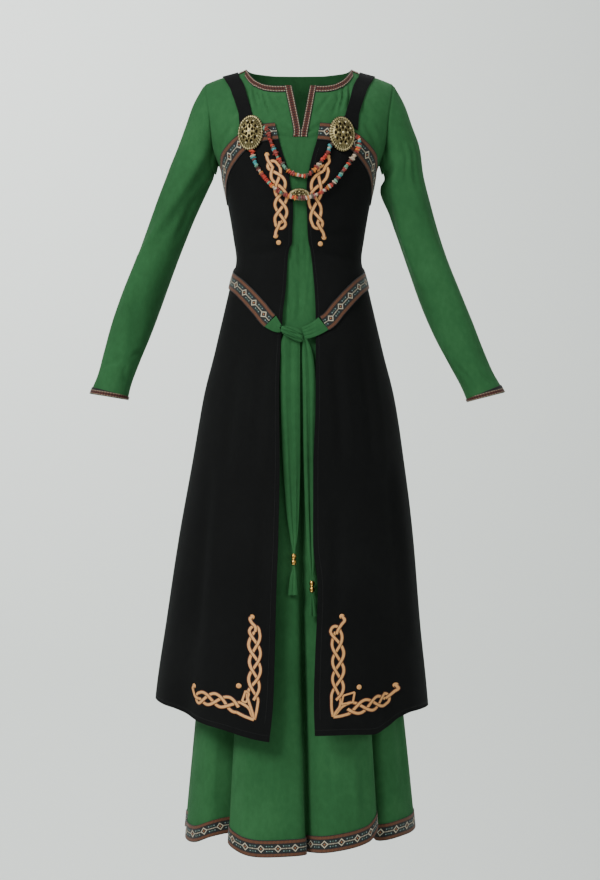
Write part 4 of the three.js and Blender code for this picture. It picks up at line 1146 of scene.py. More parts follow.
def front_yoke(side):
    """The front above the underarm, open above the foot of the slit."""
    row = FINE_YOKE[:, None]
    tops = FRONT_COLUMNS.read("top", FRONT_SHARES)
    grid = yoke_at(side, False, FRONT_SHARES[None, :], row, tops[None, :])
    z = mix(UNDERARM, top_of_yoke(SLIT_HALF, False), np.sin(FINE_YOKE * np.pi / 2))
    foot_z = np.interp(YOKE_ROWS[SLIT_ROW], FINE_YOKE, z)
    slit = SLIT_HALF * np.clip((z - foot_z) / (z[-1] - foot_z), 0, None)
    plain = section(np.array(UNDERARM), FRONT_COLUMNS.places[1] * 90)[0]
    trim = slit + mix(plain, NECK_TRIM, np.minimum(1, FINE_YOKE / YOKE_ROWS[SLIT_ROW - 1]))
    knots = FRONT_COLUMNS.places[:3]
    third = int(np.sum(FRONT_SHARES < knots[2] - 1e-6))
    x3, z3 = np.abs(grid[:, third, 0]), grid[:, third, 2]
    for column in range(third):
        share = FRONT_SHARES[column]
        if share <= knots[1]:
            x, height = mix(slit, trim, share / knots[1]), z
        else:
            part = (share - knots[1]) / (knots[2] - knots[1])
            x, height = mix(trim, x3, part), mix(z, z3, part)
        grid[:, column] = yoke_point(side, False, height, angle_at(x, height, 0))
    near_middle = 1 - eased(np.abs(grid[..., 0]) / 70)
    grid[..., 0] += SLIT_SHIFT * near_middle * eased((grid[..., 2] + 150) / 50)
    return grid


def back_yoke(side):
    tops = BACK_COLUMNS.read("top", BACK_SHARES)
    return yoke_at(side, True, BACK_SHARES[None, :], FINE_YOKE[:, None], tops[None, :])


def body_quarter(side, behind):
    shares = BACK_SHARES if behind else FRONT_SHARES
    angles = side * (180 - shares * 90 if behind else shares * 90)
    skirt = body_point(SKIRT_LEVELS[:0:-1, None], angles[None, :])
    return np.concatenate([skirt, back_yoke(side) if behind else front_yoke(side)])


def quarter_creases(grid, behind):
    """Creases of the body, faded out towards the armhole and the side seams."""
    depth = crease_depth(BACK_CREASES if behind else FRONT_CREASES, grid[..., 0], grid[..., 2])
    shares = BACK_SHARES if behind else FRONT_SHARES
    fade = np.minimum(1, (1 - shares) / 0.12)[None, :] * np.ones((len(grid), 1))
    top = np.ones(len(grid))
    top[SKIRT_ROWS:] = np.minimum(1, (1 - FINE_YOKE) / 0.12)
    if behind:
        fade = fade * np.minimum(1, shares / 0.06)[None, :]
    stronger = 1 + 0.5 * eased((grid[..., 2] + 200) / 60)
    return depth * stronger * fade * top[:, None]


UNDERARM_DROP = 8
SLEEVE_FAN = [
    (66, 124, 148.5, -167, 0.45, 0), (52, 94, 151, -170, 0.15, 2), (38, 80, 155.5, -177, 0, 12),
]
ARM_COLUMNS = "z x half depth forward"
ARM = {
    "right": Table(ARM_COLUMNS, [
        [-190, 202, 39.5, 44, 0], [-235, 220, 39, 43, 2], [-322, 252, 38.5, 41, 6],
        [-410, 285, 37, 39, 12], [-497, 315, 34.5, 36, 20], [-560, 335, 32, 34, 27],
        [-577, 340.5, 33.5, 34, 29], [-586, 343.5, 34.5, 34.5, 30],
    ]),
    "left": Table(ARM_COLUMNS, [
        [-190, 188, 39.5, 44, 0], [-235, 199, 39, 43, 2], [-322, 226, 38.5, 41, 6],
        [-410, 258, 37, 39, 12], [-497, 295, 34.5, 36, 20], [-560, 325, 32, 34, 27],
        [-578, 334, 33.5, 34, 29], [-586.5, 338.5, 34.5, 34.5, 30],
    ]),
}
ARM_LEVELS = [-190, -245, -300, -355, -410, -465, -515, -560]
SLEEVE_STEPS = [8, 6, 6, 5, 9, 9, 9, 9, 9, 9, 8, 5, 5]


def armhole_ring(side):
    front = yoke_at(side, False, np.array(1.0), FINE_YOKE, np.array(172.0))
    back = yoke_at(side, True, np.array(1.0), FINE_YOKE, np.array(172.0))[::-1]
    return np.concatenate([front, back[1:-1]])


def ring_turns(ring):
    top = len(FINE_YOKE) - 1
    gaps = np.linalg.norm(np.roll(ring, -1, axis=0) - ring, axis=1)
    travelled = np.concatenate([[0], np.cumsum(gaps)])[:-1]
    front, back = gaps[:top].sum(), gaps[top:].sum()
    return np.where(np.arange(len(ring)) <= top, 180 * travelled / front,
                    180 + 180 * (travelled - front) / back)


def sleeve_ring(centre, outward, half, depth, turns):
    return np.stack([
        centre[0] - outward[0] * half * cos_of(turns),
        centre[1] - depth * sin_of(turns),
        centre[2] - outward[2] * half * cos_of(turns),
    ], -1)


def arm_centre(side, arm, z):
    z = np.asarray(z, float)
    return np.stack(np.broadcast_arrays(side * arm.read("x", z), -arm.read("forward", z), z), -1)


def lowered(ring, turns, drop):
    """A sleeve's ring with its underarm side let down."""
    share = np.clip(cos_of(turns), 0, 1) ** 2
    return ring - np.array([0, 0, 1]) * (drop * share)[:, None]


def sleeve_grid(side, name):
    armhole = armhole_ring(side)
    turns = ring_turns(armhole)
    arm = ARM[name]
    rings = [armhole]
    for tilt, length, x, z, kept, sag in SLEEVE_FAN:
        outward = np.array([side * cos_of(tilt), 0, sin_of(tilt)])
        centre = np.array([side * x, 0, z]) + outward * length / 2
        ring = sleeve_ring(centre, outward, length / 2, 45, turns)
        ring = mix(ring, armhole - armhole.mean(0) + centre, kept)
        rings.append(lowered(ring, turns, sag))
    cuff = arm.places[0]
    for z in [*ARM_LEVELS, cuff + CUFF_TRIM, cuff]:
        ahead = arm_centre(side, arm, z + 15) - arm_centre(side, arm, z - 15)
        ahead = unit(ahead * np.array([1, 0, 1]))
        outward = np.array([ahead[2] * side, 0, -ahead[0] * side])
        wave = 1.8 * eased((-230 - z) / 80) * eased((z + 560) / 60)
        swell = wave * np.sin(np.radians(2 * turns) + z / 42)
        ring = sleeve_ring(arm_centre(side, arm, z), outward, arm.read("half", z) + swell,
                           arm.read("depth", z) + swell, turns)
        rings.append(lowered(ring, turns, UNDERARM_DROP * eased((z + 245) / 55)))
    coarse = np.stack(rings)
    return smooth_rows(coarse, SLEEVE_STEPS), turns


def smooth_rows(rows, steps):
    """Rows between the given ones, on smooth lines that pass through them."""
    padded = np.concatenate([2 * rows[:1] - rows[1:2], rows, 2 * rows[-1:] - rows[-2:-1]])
    gap = np.maximum(np.linalg.norm(np.diff(padded, axis=0), axis=-1), 2.0)[..., None]
    result = []
    for k in range(1, len(padded) - 2):
        p0, p1, p2, p3 = padded[k - 1:k + 3]
        g0, g1, g2 = gap[k - 1], gap[k], gap[k + 1]
        m1 = g1 * ((p1 - p0) / g0 - (p2 - p0) / (g0 + g1)) + (p2 - p1)
        m2 = g1 * ((p3 - p2) / g2 - (p3 - p1) / (g1 + g2)) + (p2 - p1)
        for step in range(steps[k - 1]):
            t = step / steps[k - 1]
            result.append((2 * t ** 3 - 3 * t * t + 1) * p1 + (t ** 3 - 2 * t * t + t) * m1
                          + (3 * t * t - 2 * t ** 3) * p2 + (t ** 3 - t * t) * m2)
    return np.stack(result + [rows[-1]])


def sleeve_axis(side, name):
    return lambda points: arm_centre(side, ARM[name], np.minimum(-120, points[..., 2]))


def neck_trim_lay(grid, behind):
    """Flat place on the neck trim: along it, and 0 to 1 across it."""
    lower = np.sin(YOKE_ROWS[NECK_TRIM_ROW] * np.pi / 2)
    width_row = (np.sin(FINE_YOKE * np.pi / 2) - lower) / (1 - lower)
    along = lengths(grid)[..., 0]
    across = np.zeros(grid.shape[:2])
    across[SKIRT_ROWS:] = 1 - width_row[:, None]
    neck = np.stack([along, across], -1)
    slit = neck.copy()
    if not behind:
        shares = np.clip(FRONT_SHARES / FRONT_COLUMNS.places[1], 0, 1)
        slit[..., 0] = lengths(grid)[..., 1]
        slit[..., 1] = shares[None, :]
    return neck, slit


SIDES = (("right", -1), ("left", 1))
hem_rows_up = 5
underdress = Skin()
neck_lays, slit_lays = [], []
for behind, piece in ((False, "front"), (True, "back")):
    halves = [body_quarter(side, behind) for _, side in SIDES]
    moved = [creased(grid, trunk_axis, quarter_creases(grid, behind)) for grid in halves]
    meets = np.abs(halves[0][:, 0] - halves[1][:, 0]).max(1) < 0.01
    moved[0][meets, 0] = moved[1][meets, 0] = (moved[0][meets, 0] + moved[1][meets, 0]) / 2
    for plain, grid in zip(halves, moved):
        neck, slit = neck_trim_lay(plain, behind)
        neck_lays.append(neck)
        slit_lays.append(slit)
        underdress.add(piece, grid)
cuff_lays = []
for name, side in SIDES:
    grid, turns = sleeve_grid(side, name)
    closed = np.concatenate([grid, grid[:, :1]], 1)
    way_round = np.append(turns, 360.0)[None, :] * math.radians(38)
    depth = crease_depth(SLEEVE_CREASES[name], way_round + 0 * closed[..., 2], closed[..., 2])
    rows = np.arange(len(closed))[:, None]
    depth = 1.5 * depth * np.minimum(1, rows / 14) * np.minimum(1, (len(closed) - 1 - rows) / 10)
    seam = np.minimum(1, np.minimum(way_round, way_round[0, -1] - way_round) / 14)
    moved = creased(closed, sleeve_axis(side, name), depth * seam)
    lay = lengths(moved)
    underdress.add(f"sleeve_{name}", moved, sleeve_axis(side, name), lay)
    cuff = lay.copy()
    cuff[..., 1] = (lay[-1:, :, 1] - lay[..., 1]) / CUFF_TRIM
    cuff_lays.append(cuff)
underdress.join()
for number in (4, 5):
    underdress.draw_in(underdress.ids(number)[0], 1.5)
    underdress.draw_in(underdress.ids(number)[34:-SLEEVE_STEPS[-1], 0], 0.9)
for number in (0, 1):
    underdress.draw_in(underdress.ids(number)[hem_rows_up:SKIRT_ROWS, -1], 0.9)
underdress.draw_in(underdress.ids(0)[hem_rows_up:SKIRT_ROWS + 11, 0], 1.0)


def every_lay(body, sleeves):
    return np.concatenate([part.reshape(-1, 2) for part in (*body, *sleeves)])


def of_piece(piece, mask=True):
    return lambda g: mask if g["piece"] == piece else False


def neck_mask(behind, slit):
    """Cells of the neck trim, by the gaps of the yoke's named rows and columns."""
    gaps = BACK_GAP if behind else FRONT_GAP
    point = NECK_POINT["back" if behind else "front"]
    rows = np.concatenate([np.full(SKIRT_ROWS, -1), YOKE_GAP])
    row, column = rows[:, None], gaps[None, :]
    beside = (column == 0) & (row >= SLIT_ROW - 1)
    if slit:
        return beside
    along = (column < point) & (row >= NECK_TRIM_ROW)
    top = (column == point) & (row == len(YOKE_ROWS) - 2)
    band = along | top
    return band if behind else band & ~beside


UNDERDRESS_LAY = every_lay([g["lay"] for g in underdress.grids[:4]],
                           [g["lay"] for g in underdress.grids[4:]])
NECK_LAY = every_lay(neck_lays, [g["lay"] for g in underdress.grids[4:]])
SLIT_LAY = every_lay(slit_lays, [g["lay"] for g in underdress.grids[4:]])
CUFF_LAY = every_lay([g["lay"] for g in underdress.grids[:4]], cuff_lays)
trim_top = TRIM_LIFT + TRIM_THICKNESS
hem_rows = 4


def joined(name, pieces):
    """One object from several that meet."""
    bpy.ops.object.select_all(action="DESELECT")
    for piece in pieces:
        piece.select_set(True)
    bpy.context.view_layer.objects.active = pieces[0]
    bpy.ops.object.join()
    pieces[0].name = name
    pieces[0].data.name = name
    return pieces[0]


for piece, cut in (("front", None), ("back", None)):
    behind = piece == "back"
    parts = [underdress.wall("neck", of_piece(piece, neck_mask(behind, False)), TRIM_LIFT, trim_top,
                             NARROW, NECK_LAY)]
    if not behind:
        parts.append(underdress.wall("slit", of_piece(piece, neck_mask(behind, True)), TRIM_LIFT,
                                     trim_top, NARROW, SLIT_LAY))
    dress(joined(f"neck_braid_{piece}", parts), "narrow_trim",
                                   f"neck_trim_{piece}")
    band = np.zeros(underdress.grids[0 if not behind else 2]["quads"].shape[:2], bool)
    band[:hem_rows] = True
    dress(
        underdress.wall(f"hem_band_{piece}", of_piece(piece, band), TRIM_LIFT, trim_top, WIDE,
                        UNDERDRESS_LAY), "wide_trim", f"hem_trim_{piece}")
    panel = underdress.wall(f"green_{piece}", of_piece(piece), -CLOTH, 0, GREEN)
    dress(panel, "green_cloth", f"underdress_{piece}")

for place, (name, side) in enumerate(SIDES):
    sleeve_cells = underdress.grids[4 + place]["quads"].shape[:2]
    band = np.zeros(sleeve_cells, bool)
    band[-SLEEVE_STEPS[-1]:] = True
    cuff = dress(underdress.wall(f"cuff_braid_{name}", of_piece(f"sleeve_{name}", band), TRIM_LIFT,
                                 trim_top, NARROW, CUFF_LAY), "narrow_trim", f"cuff_trim_{name}")
    sleeve = underdress.wall(f"green_sleeve_{name}", of_piece(f"sleeve_{name}"), -CLOTH, 0, GREEN)
    dress(sleeve, "green_cloth", f"underdress_sleeve_{name}")


# ---- apron dress -----------------------------------------------------------------------

APRON_ROW_STEPS = [6, 6, 9, 9, 9, 9, 8, 7, 6, 6, 5, 4, 4, 4, 4, 4, 5, 5, 5, 4, 4]
APRON_BACK_CELLS = 16


def apron_heights(angle):
    """Heights of a column of the apron, from its hem up to its top edge."""
    away = np.abs(angle)
    top = APRON_TOP.read("z", away)
    band = APRON_TOP.read("band", away)
    hem = APRON_HEM.read("right" if angle < 0 else "left", away)
    lowest = APRON_LEVELS[-1]
    heights = [hem, mix(hem, lowest, 0.5), *APRON_LEVELS[::-1]]
    heights += [mix(APRON_LEVELS[0], top - band, share) for share in (0.25, 0.5, 0.75)]
    heights += [top - band, top - band / 2, top]
    return finer(heights, APRON_ROW_STEPS)[0]


def apron_front_grid(side, name):
    columns = []
    shares, _ = finer(APRON_SHARES, [5, 5, 5, 5, 5, 5, 5, 5, 5, 5, 5])
    for share in shares:
        z = apron_heights(side * mix(12, 90, share))
        edge = angle_at(OPENING.read(name, z), z, 1)
        columns.append(apron_point(z, side * mix(edge, 90, share)))
    return np.stack(columns, 1)


def apron_back_grid():
    columns = []
    for angle in finer(90 + 180 * np.arange(APRON_BACK_CELLS + 1) / APRON_BACK_CELLS, 7)[0]:
        signed = angle - 360 if angle > 180 else angle
        heights = apron_heights(signed)
        columns.append(apron_point(heights, np.full(len(heights), angle)))
    return np.stack(columns, 1)


def apron_creases(grid, behind):
    depth = crease_depth(APRON_BACK_CREASES if behind else APRON_FRONT_CREASES,
                         grid[..., 0], grid[..., 2])
    columns = np.linspace(0, 1, grid.shape[1])[None, :]
    fade = np.minimum(1, (1 - columns) / 0.08)
    if behind:
        fade = fade * np.minimum(1, columns / 0.08)
    return depth * fade


def band_lay(grid):
    """Along the top edge, and millimetres across the trim from its lower edge."""
    lay = lengths(grid)
    rows = sum(APRON_ROW_STEPS[-2:])
    lay[..., 0] = lay[-1:, :, 0]
    height = lay[..., 1] - lay[-1 - rows:-rows, :, 1]
    lay[..., 1] = height * WIDE_TRIM / (lay[-1:, :, 1] - lay[-1 - rows:-rows, :, 1])
    return lay


apron = Skin()
band_lays = []
for piece, grid in (("right", apron_front_grid(-1, "right")), ("left", apron_front_grid(1, "left")),
                    ("back", apron_back_grid())):
    moved = creased(grid, trunk_axis, apron_creases(grid, piece == "back"))
    apron.add(piece, moved)
    band_lays.append(band_lay(moved))
apron.join()
for number in (0, 1):
    apron.draw_in(apron.ids(number)[2:-1 - sum(APRON_ROW_STEPS[-2:]), -1], 1.2)
BAND_LAY = np.concatenate([lay.reshape(-1, 2) for lay in band_lays])

for place, (piece, panel, trim, flat, area) in enumerate((
        ("right", "apron_front_right", "bust_trim_right", (0.36, 1.08), 0.25),
        ("left", "apron_front_left", "bust_trim_left", (0.36, 1.08), 0.25),
        ("back", "apron_back", "back_trim", (0.62, 0.96), 0.46))):
    cells = apron.grids[place]["quads"].shape[:2]
    band = np.zeros(cells, bool)
    band[-sum(APRON_ROW_STEPS[-2:]):] = True
    edge = dress(apron.wall(f"woven_{trim}", of_piece(piece, band), TRIM_LIFT, trim_top, WIDE,
                            BAND_LAY), "wide_trim", trim)
    cloth = apron.wall(f"black_{piece}", of_piece(piece), -CLOTH, 0, BLACK)
    dress(cloth, "black_cloth", panel)


# ---- straps ----------------------------------------------------------------------------

def shoulder_surface(side):
    """The yoke as one surface over the shoulder: rows above 1 run on down the back."""
    def surface(share, row):
        share, row = np.broadcast_arrays(share, row)
        top = FRONT_COLUMNS.read("top", share)
        front = yoke_at(side, False, share, np.clip(row, 0, 1), top)
        back = yoke_at(side, True, share, np.clip(2 - row, 0, 1), top)
        below_z = UNDERARM + np.minimum(np.minimum(row, 2 - row), 0) * 259
        low_front = section(below_z, share * 90) * np.array([side, 1, 1])
        low_back = section(below_z, 180 - share * 90) * np.array([side, 1, 1])
        behind = (row > 1)[..., None]
        below = ((row < 0) | (row > 2))[..., None]
        return np.where(below, np.where(behind, low_back, low_front), np.where(behind, back, front))
    return surface


STRAP_ROUTE = Table("row share", [
    [0.252, 0.45], [0.35, 0.48], [0.5, 0.52], [0.65, 0.56], [0.75, 0.595], [0.86, 0.62],
    [1, 0.64], [1.3, 0.62], [1.7, 0.53], [2.082, 0.45],
])
STRAP_FOOT_ROW, STRAP_FOOT_Z = 1.97, -207
FOOT_ROWS = 14           # rows in the foot, with the one that it starts from
LEAN_ROWS = 8            # rows that the foot takes its direction from
FOOT_SETTLES = 4         # over the first quarter it settles on the body
BACK_STEPS = 61          # angles read round half of the back


def with_foot(grid):
    """A strap with its back foot, which runs on straight down, inside the apron's upper edge."""
    last = grid[-1]
    lean = (last - grid[-LEAN_ROWS]).mean(0)
    whole_fall = STRAP_FOOT_Z - last[:, 2].mean()
    rows = [grid]
    for fall in np.linspace(0, whole_fall, FOOT_ROWS)[1:]:
        foot = last + np.array([lean[0] / lean[2] * fall, 0, fall])
        for point in foot:
            curve = section(np.full(BACK_STEPS, point[2]), np.linspace(180, 90, BACK_STEPS))
            point[1] = np.interp(abs(point[0]), curve[:, 0], curve[:, 1])
        share = min(1, fall / whole_fall * FOOT_SETTLES)
        straight = last[:, 1] + lean[1] / lean[2] * fall
        foot[:, 1] = np.maximum(foot[:, 1], straight * (1 - share) + foot[:, 1] * share)
        rows.append(foot[None])
    return np.concatenate(rows)


def centred_lay(grid, width):
    """Millimetres along a strip and across it."""
    lay = lengths(grid)
    lay[..., 0] = lay[..., 1].mean(1, keepdims=True)
    lay[..., 1] = np.linspace(0, width, grid.shape[1])
    return lay


for name, side in SIDES:
    rows = np.linspace(STRAP_ROUTE.places[0], STRAP_ROUTE.places[-1], 90)
    route = np.stack([STRAP_ROUTE.read("share", rows), rows], -1)
    grid = ribbon_grid(shoulder_surface(side), route, np.linspace(-0.5, 0.5, 11) * STRAP_WIDTH)
    grid = with_foot(grid[rows < STRAP_FOOT_ROW])
    strap = ribbon(f"black_strap_{name}", grid, STRAP_LIFT, STRAP_LIFT + CLOTH, BLACK,
                   centred_lay(grid, STRAP_WIDTH))
    dress(strap, "black_cloth", f"strap_{name}")


# ---- belt ------------------------------------------------------------------------------

def woven_belt():
    angles = np.linspace(BELT_ENDS["left"], 360 + BELT_ENDS["right"], 220)
    folded = np.where(angles > 180, 360 - angles, angles)
    route = np.stack([angles, BELT_LINE.read("z", folded)], -1)
    grid = ribbon_grid(belt_surface, route, np.linspace(-0.5, 0.5, 9) * WIDE_TRIM)
    belt = ribbon("woven_belt", grid, BELT_LIFT, BELT_LIFT + CLOTH, WIDE,
                  centred_lay(grid, WIDE_TRIM))
    dress(belt, "wide_trim", "belt_band")


TIE_ENDS = {
    "right": {"from": (-19.5, -452.8), "bend": (-13.4, -467.5), "to": (-11.9, -466.0),
              "width": 8.0},
    "left": {"from": (16.35, -457.2), "bend": (8.6, -471.5), "to": (2.45, -474.5), "width": 20.0},
}
GATHERS = {"right": (-0.28, 0.08, 0.34), "left": (-0.30, -0.02, 0.26)}


def tie_end(name):
    """Green end of the belt, gathered into pleats as it narrows to the knot."""
    end = TIE_ENDS[name]
    share = np.linspace(0, 1, 26)[:, None]
    start, bend, to = (np.array(end[key]) for key in ("from", "bend", "to"))
    route = mix(mix(start, bend, share), mix(bend, to, share), share)
    part = np.linspace(-0.5, 0.5, 21)[None, :]
    width = mix(WIDE_TRIM - 2, end["width"], share)
    lines = [ribbon_grid(belt_surface, route, part[0] * WIDE_TRIM)]
    grid = lines[0]
    middle = grid[:, 10:11]
    grid = middle + (grid - middle) * (width / WIDE_TRIM)[..., None]
    pleats = sum(np.exp(-((part - place) / 0.055) ** 2) for place in GATHERS[name])
    swell = 1.5 * share * (1 - 0.75 * pleats)
    out = unit(grid * np.array([1, 1, 0]))
    grid = grid + out * (swell * (1 - np.abs(2 * part) ** 4))[..., None]
    piece = ribbon(f"green_tie_end_{name}", grid, BELT_LIFT, BELT_LIFT + CLOTH, GREEN)
    dress(piece, "green_cloth", f"belt_tie_end_{name}")


def knot_of_belt():
    """The wrapped turn of the knot, drawn into creases that run along it."""
    around, rows = 96, 48
    height = np.linspace(-90, 90, rows + 1)[:, None]
    turn = np.linspace(0, 360, around + 1)[None, :]
    level = power(cos_of(height), 0.62)
    x = KNOT["width"] * level * power(cos_of(turn), 0.62)
    y = KNOT["depth"] * level * power(sin_of(turn), 0.62)
    z = KNOT["height"] * power(sin_of(height), 0.62) + 0 * turn
    run = x / KNOT["width"]
    waves = np.zeros_like(x)
    for offset, slant, width, depth in ((7.5, -3.0, 1.2, 2.0), (2.0, 2.5, 1.1, 2.6),
                                        (-3.5, -2.5, 1.2, 2.2), (-8.5, 2.0, 1.2, 2.4)):
        waves -= depth * np.exp(-((z - offset - slant * run) / width) ** 2)
    pinch = 1 + 0.15 * waves
    z = z * (0.80 + 0.16 * run) * (1 - 0.10 * run ** 2) - 7.5 * run + 2.5
    grid = np.stack([KNOT["x"] + x, KNOT["y"] + y * pinch, KNOT["z"] + z], -1)
    skin = Skin()
    skin.add("knot", grid, lambda p: np.broadcast_to([KNOT["x"], KNOT["y"], KNOT["z"]], p.shape))
    skin.join()
    g = skin.grids[0]
    quads = skin.shared[g["quads"].reshape(-1, 4)]
    piece = mesh_piece("green_knot", skin.points, quads, GREEN,
                       skin.lay[g["quads"].reshape(-1, 4)], 180)
    dress(piece, "green_cloth", "belt_knot")


TAILS = {
    "right": Table("z x width fold", [
        [-474, -13.5, 24, 0.6], [-484, -14.2, 31, 1.2], [-492, -14.6, 33.5, 2],
        [-560, -15.4, 34.5, 3], [-700, -13, 30, 3],
        [-800, -10.3, 20, 2.2], [-843, -8.8, 10, 1], [-860, -8.8, 4.4, 0], [-888, -8.8, 4.4, 0],
        [-902, -9.5, 10, 1], [-937, -11, 17, 1.5],
    ]),
    "left": Table("z x width fold", [
        [-478, 8.0, 6, 0.4], [-490, 11.2, 11, 1.6], [-505, 14, 17, 2.4], [-520, 15.6, 20, 2.4],
        [-560, 18, 22.5, 2.4], [-700, 19.5, 21, 2.8], [-850, 21.8, 14, 2], [-892, 23.2, 8, 1],
        [-908, 23.4, 4.4, 0], [-936, 23.4, 4.4, 0], [-948, 23.8, 9, 1], [-974, 25, 14, 1.5],
    ]),
}
TIE_BEADS = {"right": (-8.8, (-869.1, -879.3)), "left": (23.4, (-916.8, -927.0))}


def tail_y(z):
    return -np.maximum(119.5, FORM.read("front", z) + 6)


def belt_tail(name):
    tail = TAILS[name]
    z = np.linspace(tail.places[-1], tail.places[0], 150)[:, None]
    part = np.linspace(-0.5, 0.5, 17)[None, :]
    waves = 0.5 * np.cos(4 * np.pi * part) + 0.16 * np.sin(9 * np.pi * part + z / 90)
    fold = tail.read("fold", z) * waves
    x = tail.read("x", z) + part * tail.read("width", z)
    grid = np.stack(np.broadcast_arrays(x, tail_y(z) + fold, z), -1)
    piece = ribbon(f"green_tail_{name}", grid, -CLOTH / 2, CLOTH / 2, GREEN)
    dress(piece, "green_cloth", f"belt_tail_{name}")


def turned(profile, segments):
    """Points of a turned shape round the Z axis, row by row."""
    turn = np.linspace(0, 360, segments + 1)[None, :]
    r, h = np.array(profile, float).T[:, :, None]
    return np.stack([r * cos_of(turn), r * sin_of(turn), h + 0 * turn], -1)


def solid_from_grid(name, grids, finish, smooth=50, relief=None):
    """One closed mesh from grids that close on themselves."""
    skin = Skin()
    for grid in grids:
        middle = grid.reshape(-1, 3).mean(0)
        skin.add("solid", grid, lambda p, m=middle: np.broadcast_to(m, p.shape))
    skin.join()
    raw = np.concatenate([g["quads"].reshape(-1, 4) for g in skin.grids])
    values = None
    if relief is not None:
        spread = np.zeros(len(skin.points))
        spread[skin.shared] = relief
        values = {"relief": spread}
    return mesh_piece(name, skin.points, skin.shared[raw], finish, None, smooth, values)


def tie_beads():
    """Two ribbed gold beads on each tail."""
    grids = []
    outline = [(3.1, -4.5), (3.9, -4.4), (4.3, -3.6), (4.0, -3.0), (4.6, -2.2), (5.0, -0.9),
               (5.0, 0.9), (4.6, 2.2), (4.0, 3.0), (4.3, 3.6), (3.9, 4.4), (3.1, 4.5), (3.1, -4.5)]
    for x, levels in TIE_BEADS.values():
        for z in levels:
            bead = turned(outline, 36)
            turn = np.linspace(0, 360, 37)[None, :, None]
            waist = np.exp(-(bead[..., 2:] / 1.9) ** 2)
            fluting = np.where(bead[..., 2:] > -4.45, 0.03, 0)
            bead[..., :2] *= 1 + fluting * waist * np.cos(np.radians(9 * turn))
            grids.append(bead + np.array([x, tail_y(z), z]))
    nodes = [f"belt_bead_{name}_{k}" for name in ("right", "left") for k in (1, 2)]
    return dress(solid_from_grid("gold_tie_beads", grids, GOLD), "gold", *nodes)


woven_belt()
tie_end("right")
tie_end("left")
knot_of_belt()
belt_tail("right")
belt_tail("left")
tie_beads()


# ---- brooches and medallion ------------------------------------------------------------

BROOCH_PROFILE = Table("r h", [
    [0, 10.8], [0.2, 10.5], [0.45, 9.6], [0.62, 8.2], [0.74, 6.4], [0.83, 4.2], [0.87, 3.2],
    [0.93, 3.0], [0.97, 2.6], [1, 1.2],
])
MEDALLION_PROFILE = Table("r h", [
    [0, 5], [0.3, 4.9], [0.6, 4.2], [0.82, 3.2], [0.93, 2.2], [1, 1],
])


def boss_frame(x, z, lift):
    point, facing = chest_place(x, z)
    right = unit(np.cross(np.array([0.0, 0, 1]), facing))
    right *= np.sign(right[0])
    up = np.cross(facing, right)
    up *= np.sign(up[2])
    return point + facing * lift, right, up, facing


def pierced(u, v):
    """Openwork of the dome: rings of deep holes round the middle."""
    holes = np.zeros_like(u)
    for count, ring, size, first in ((1, 0.0, 0.0, 0), (6, 0.27, 0.075, 30), (10, 0.55, 0.085, 0),
                                     (10, 0.42, 0.045, 18)):
        for k in range(count):
            if size == 0:
                continue
            turn = first + 360 * k / count
            gap = np.hypot(u - ring * cos_of(turn), v - ring * sin_of(turn))
            holes += np.exp(-(gap / size) ** 4)
    return np.minimum(holes, 1)


STUD_RINGS = ((1, 0.0, 2.6, 0), (6, 0.36, 1.3, 0), (8, 0.66, 1.9, 22.5))


def oval_boss(name, x, z, size, profile, relief_depth, slot, node, studs, rope):
    """A domed oval plate with pierced relief, a roped rim and studs."""
    centre, right, up, facing = boss_frame(x, z, size["lift"])
    radii = np.concatenate([np.linspace(0, 0.86, 46), np.linspace(0.87, 1, 10)])[:, None]
    turn = np.linspace(0, 360, 145)[None, :]
    u, v = radii * cos_of(turn), radii * sin_of(turn)
    holes = pierced(u, v) * (radii < 0.78)
    grooves = 0.35 * np.sin(np.radians(36 * turn)) * np.exp(-((radii - 0.80) / 0.035) ** 2)
    h = profile.read("h", radii) - relief_depth * holes + grooves * relief_depth / 1.8
    front = centre + (u * size["width"])[..., None] * right + (v * size["height"])[..., None] * up \
        + h[..., None] * facing
    back_r = np.array([1, 0.97, 0.0])[:, None]
    back_h = np.array([1.0, 0.0, 0.0])[:, None] * profile.curves["h"][-1]
    bu, bv = back_r * cos_of(turn), back_r * sin_of(turn)
    back = centre + (bu * size["width"])[..., None] * right + (bv * size["height"])[..., None] * up \
        + (back_h + 0 * turn)[..., None] * facing
    # Painted light on the plate: the pierced holes are painted dark as painted shade, and the rim's ridges
    # are painted lighter and its grooves darker, following the grooves in the metal.
    rim = 0.34 * np.sin(np.radians(36 * turn)) * (radii > 0.76)
    relief = np.clip(0.52 - 0.6 * holes + rim, 0, 1)
    every = np.concatenate([relief.ravel(), np.full(back[1:].size // 3, 0.3)])
    grid = np.concatenate([front, back[1:]])
    plate = solid_from_grid(name, [grid], BRONZE, 180, every)
    dress(plate, slot, node)
    points, sizes = [], []
    for count, ring, stud, first in studs:
        for k in range(count):
            a = first + 360 * k / count
            pu, pv = ring * cos_of(a), ring * sin_of(a)
            points.append(centre + pu * size["width"] * right + pv * size["height"] * up
                          + profile.read("h", ring) * facing)
            sizes.append(stud)
    dome = STUDS.grow(f"{name}_studs", guide_points(points, [facing] * len(points), sizes),
                      {"Height": 0.8, "Finish": BRONZE}, True)
    # The studs are painted pale as painted highlight.
    paint_highlight(dome)
    dress(dome, slot)
    turns = np.linspace(0, 360, 121)
    for ring, pitch, grain, label in rope:
        h = profile.read("h", ring) + 0.1
        line = centre + (ring * size["width"] * cos_of(turns))[:, None] * right \
            + (ring * size["height"] * sin_of(turns))[:, None] * up + h * facing
        cord = GRAINS_ALONG.grow(f"{name}_{label}", guide_lines([line]), {
            "Spacing": pitch * MM, "Size": (grain * MM, grain * MM, 1.25 * pitch * MM / 2),
            "Tilt": (0.5, 0.0, 0.0), "Finish": BRONZE}, True)
        # The rope is painted pale as painted highlight.
        paint_highlight(cord)
        dress(cord, slot)


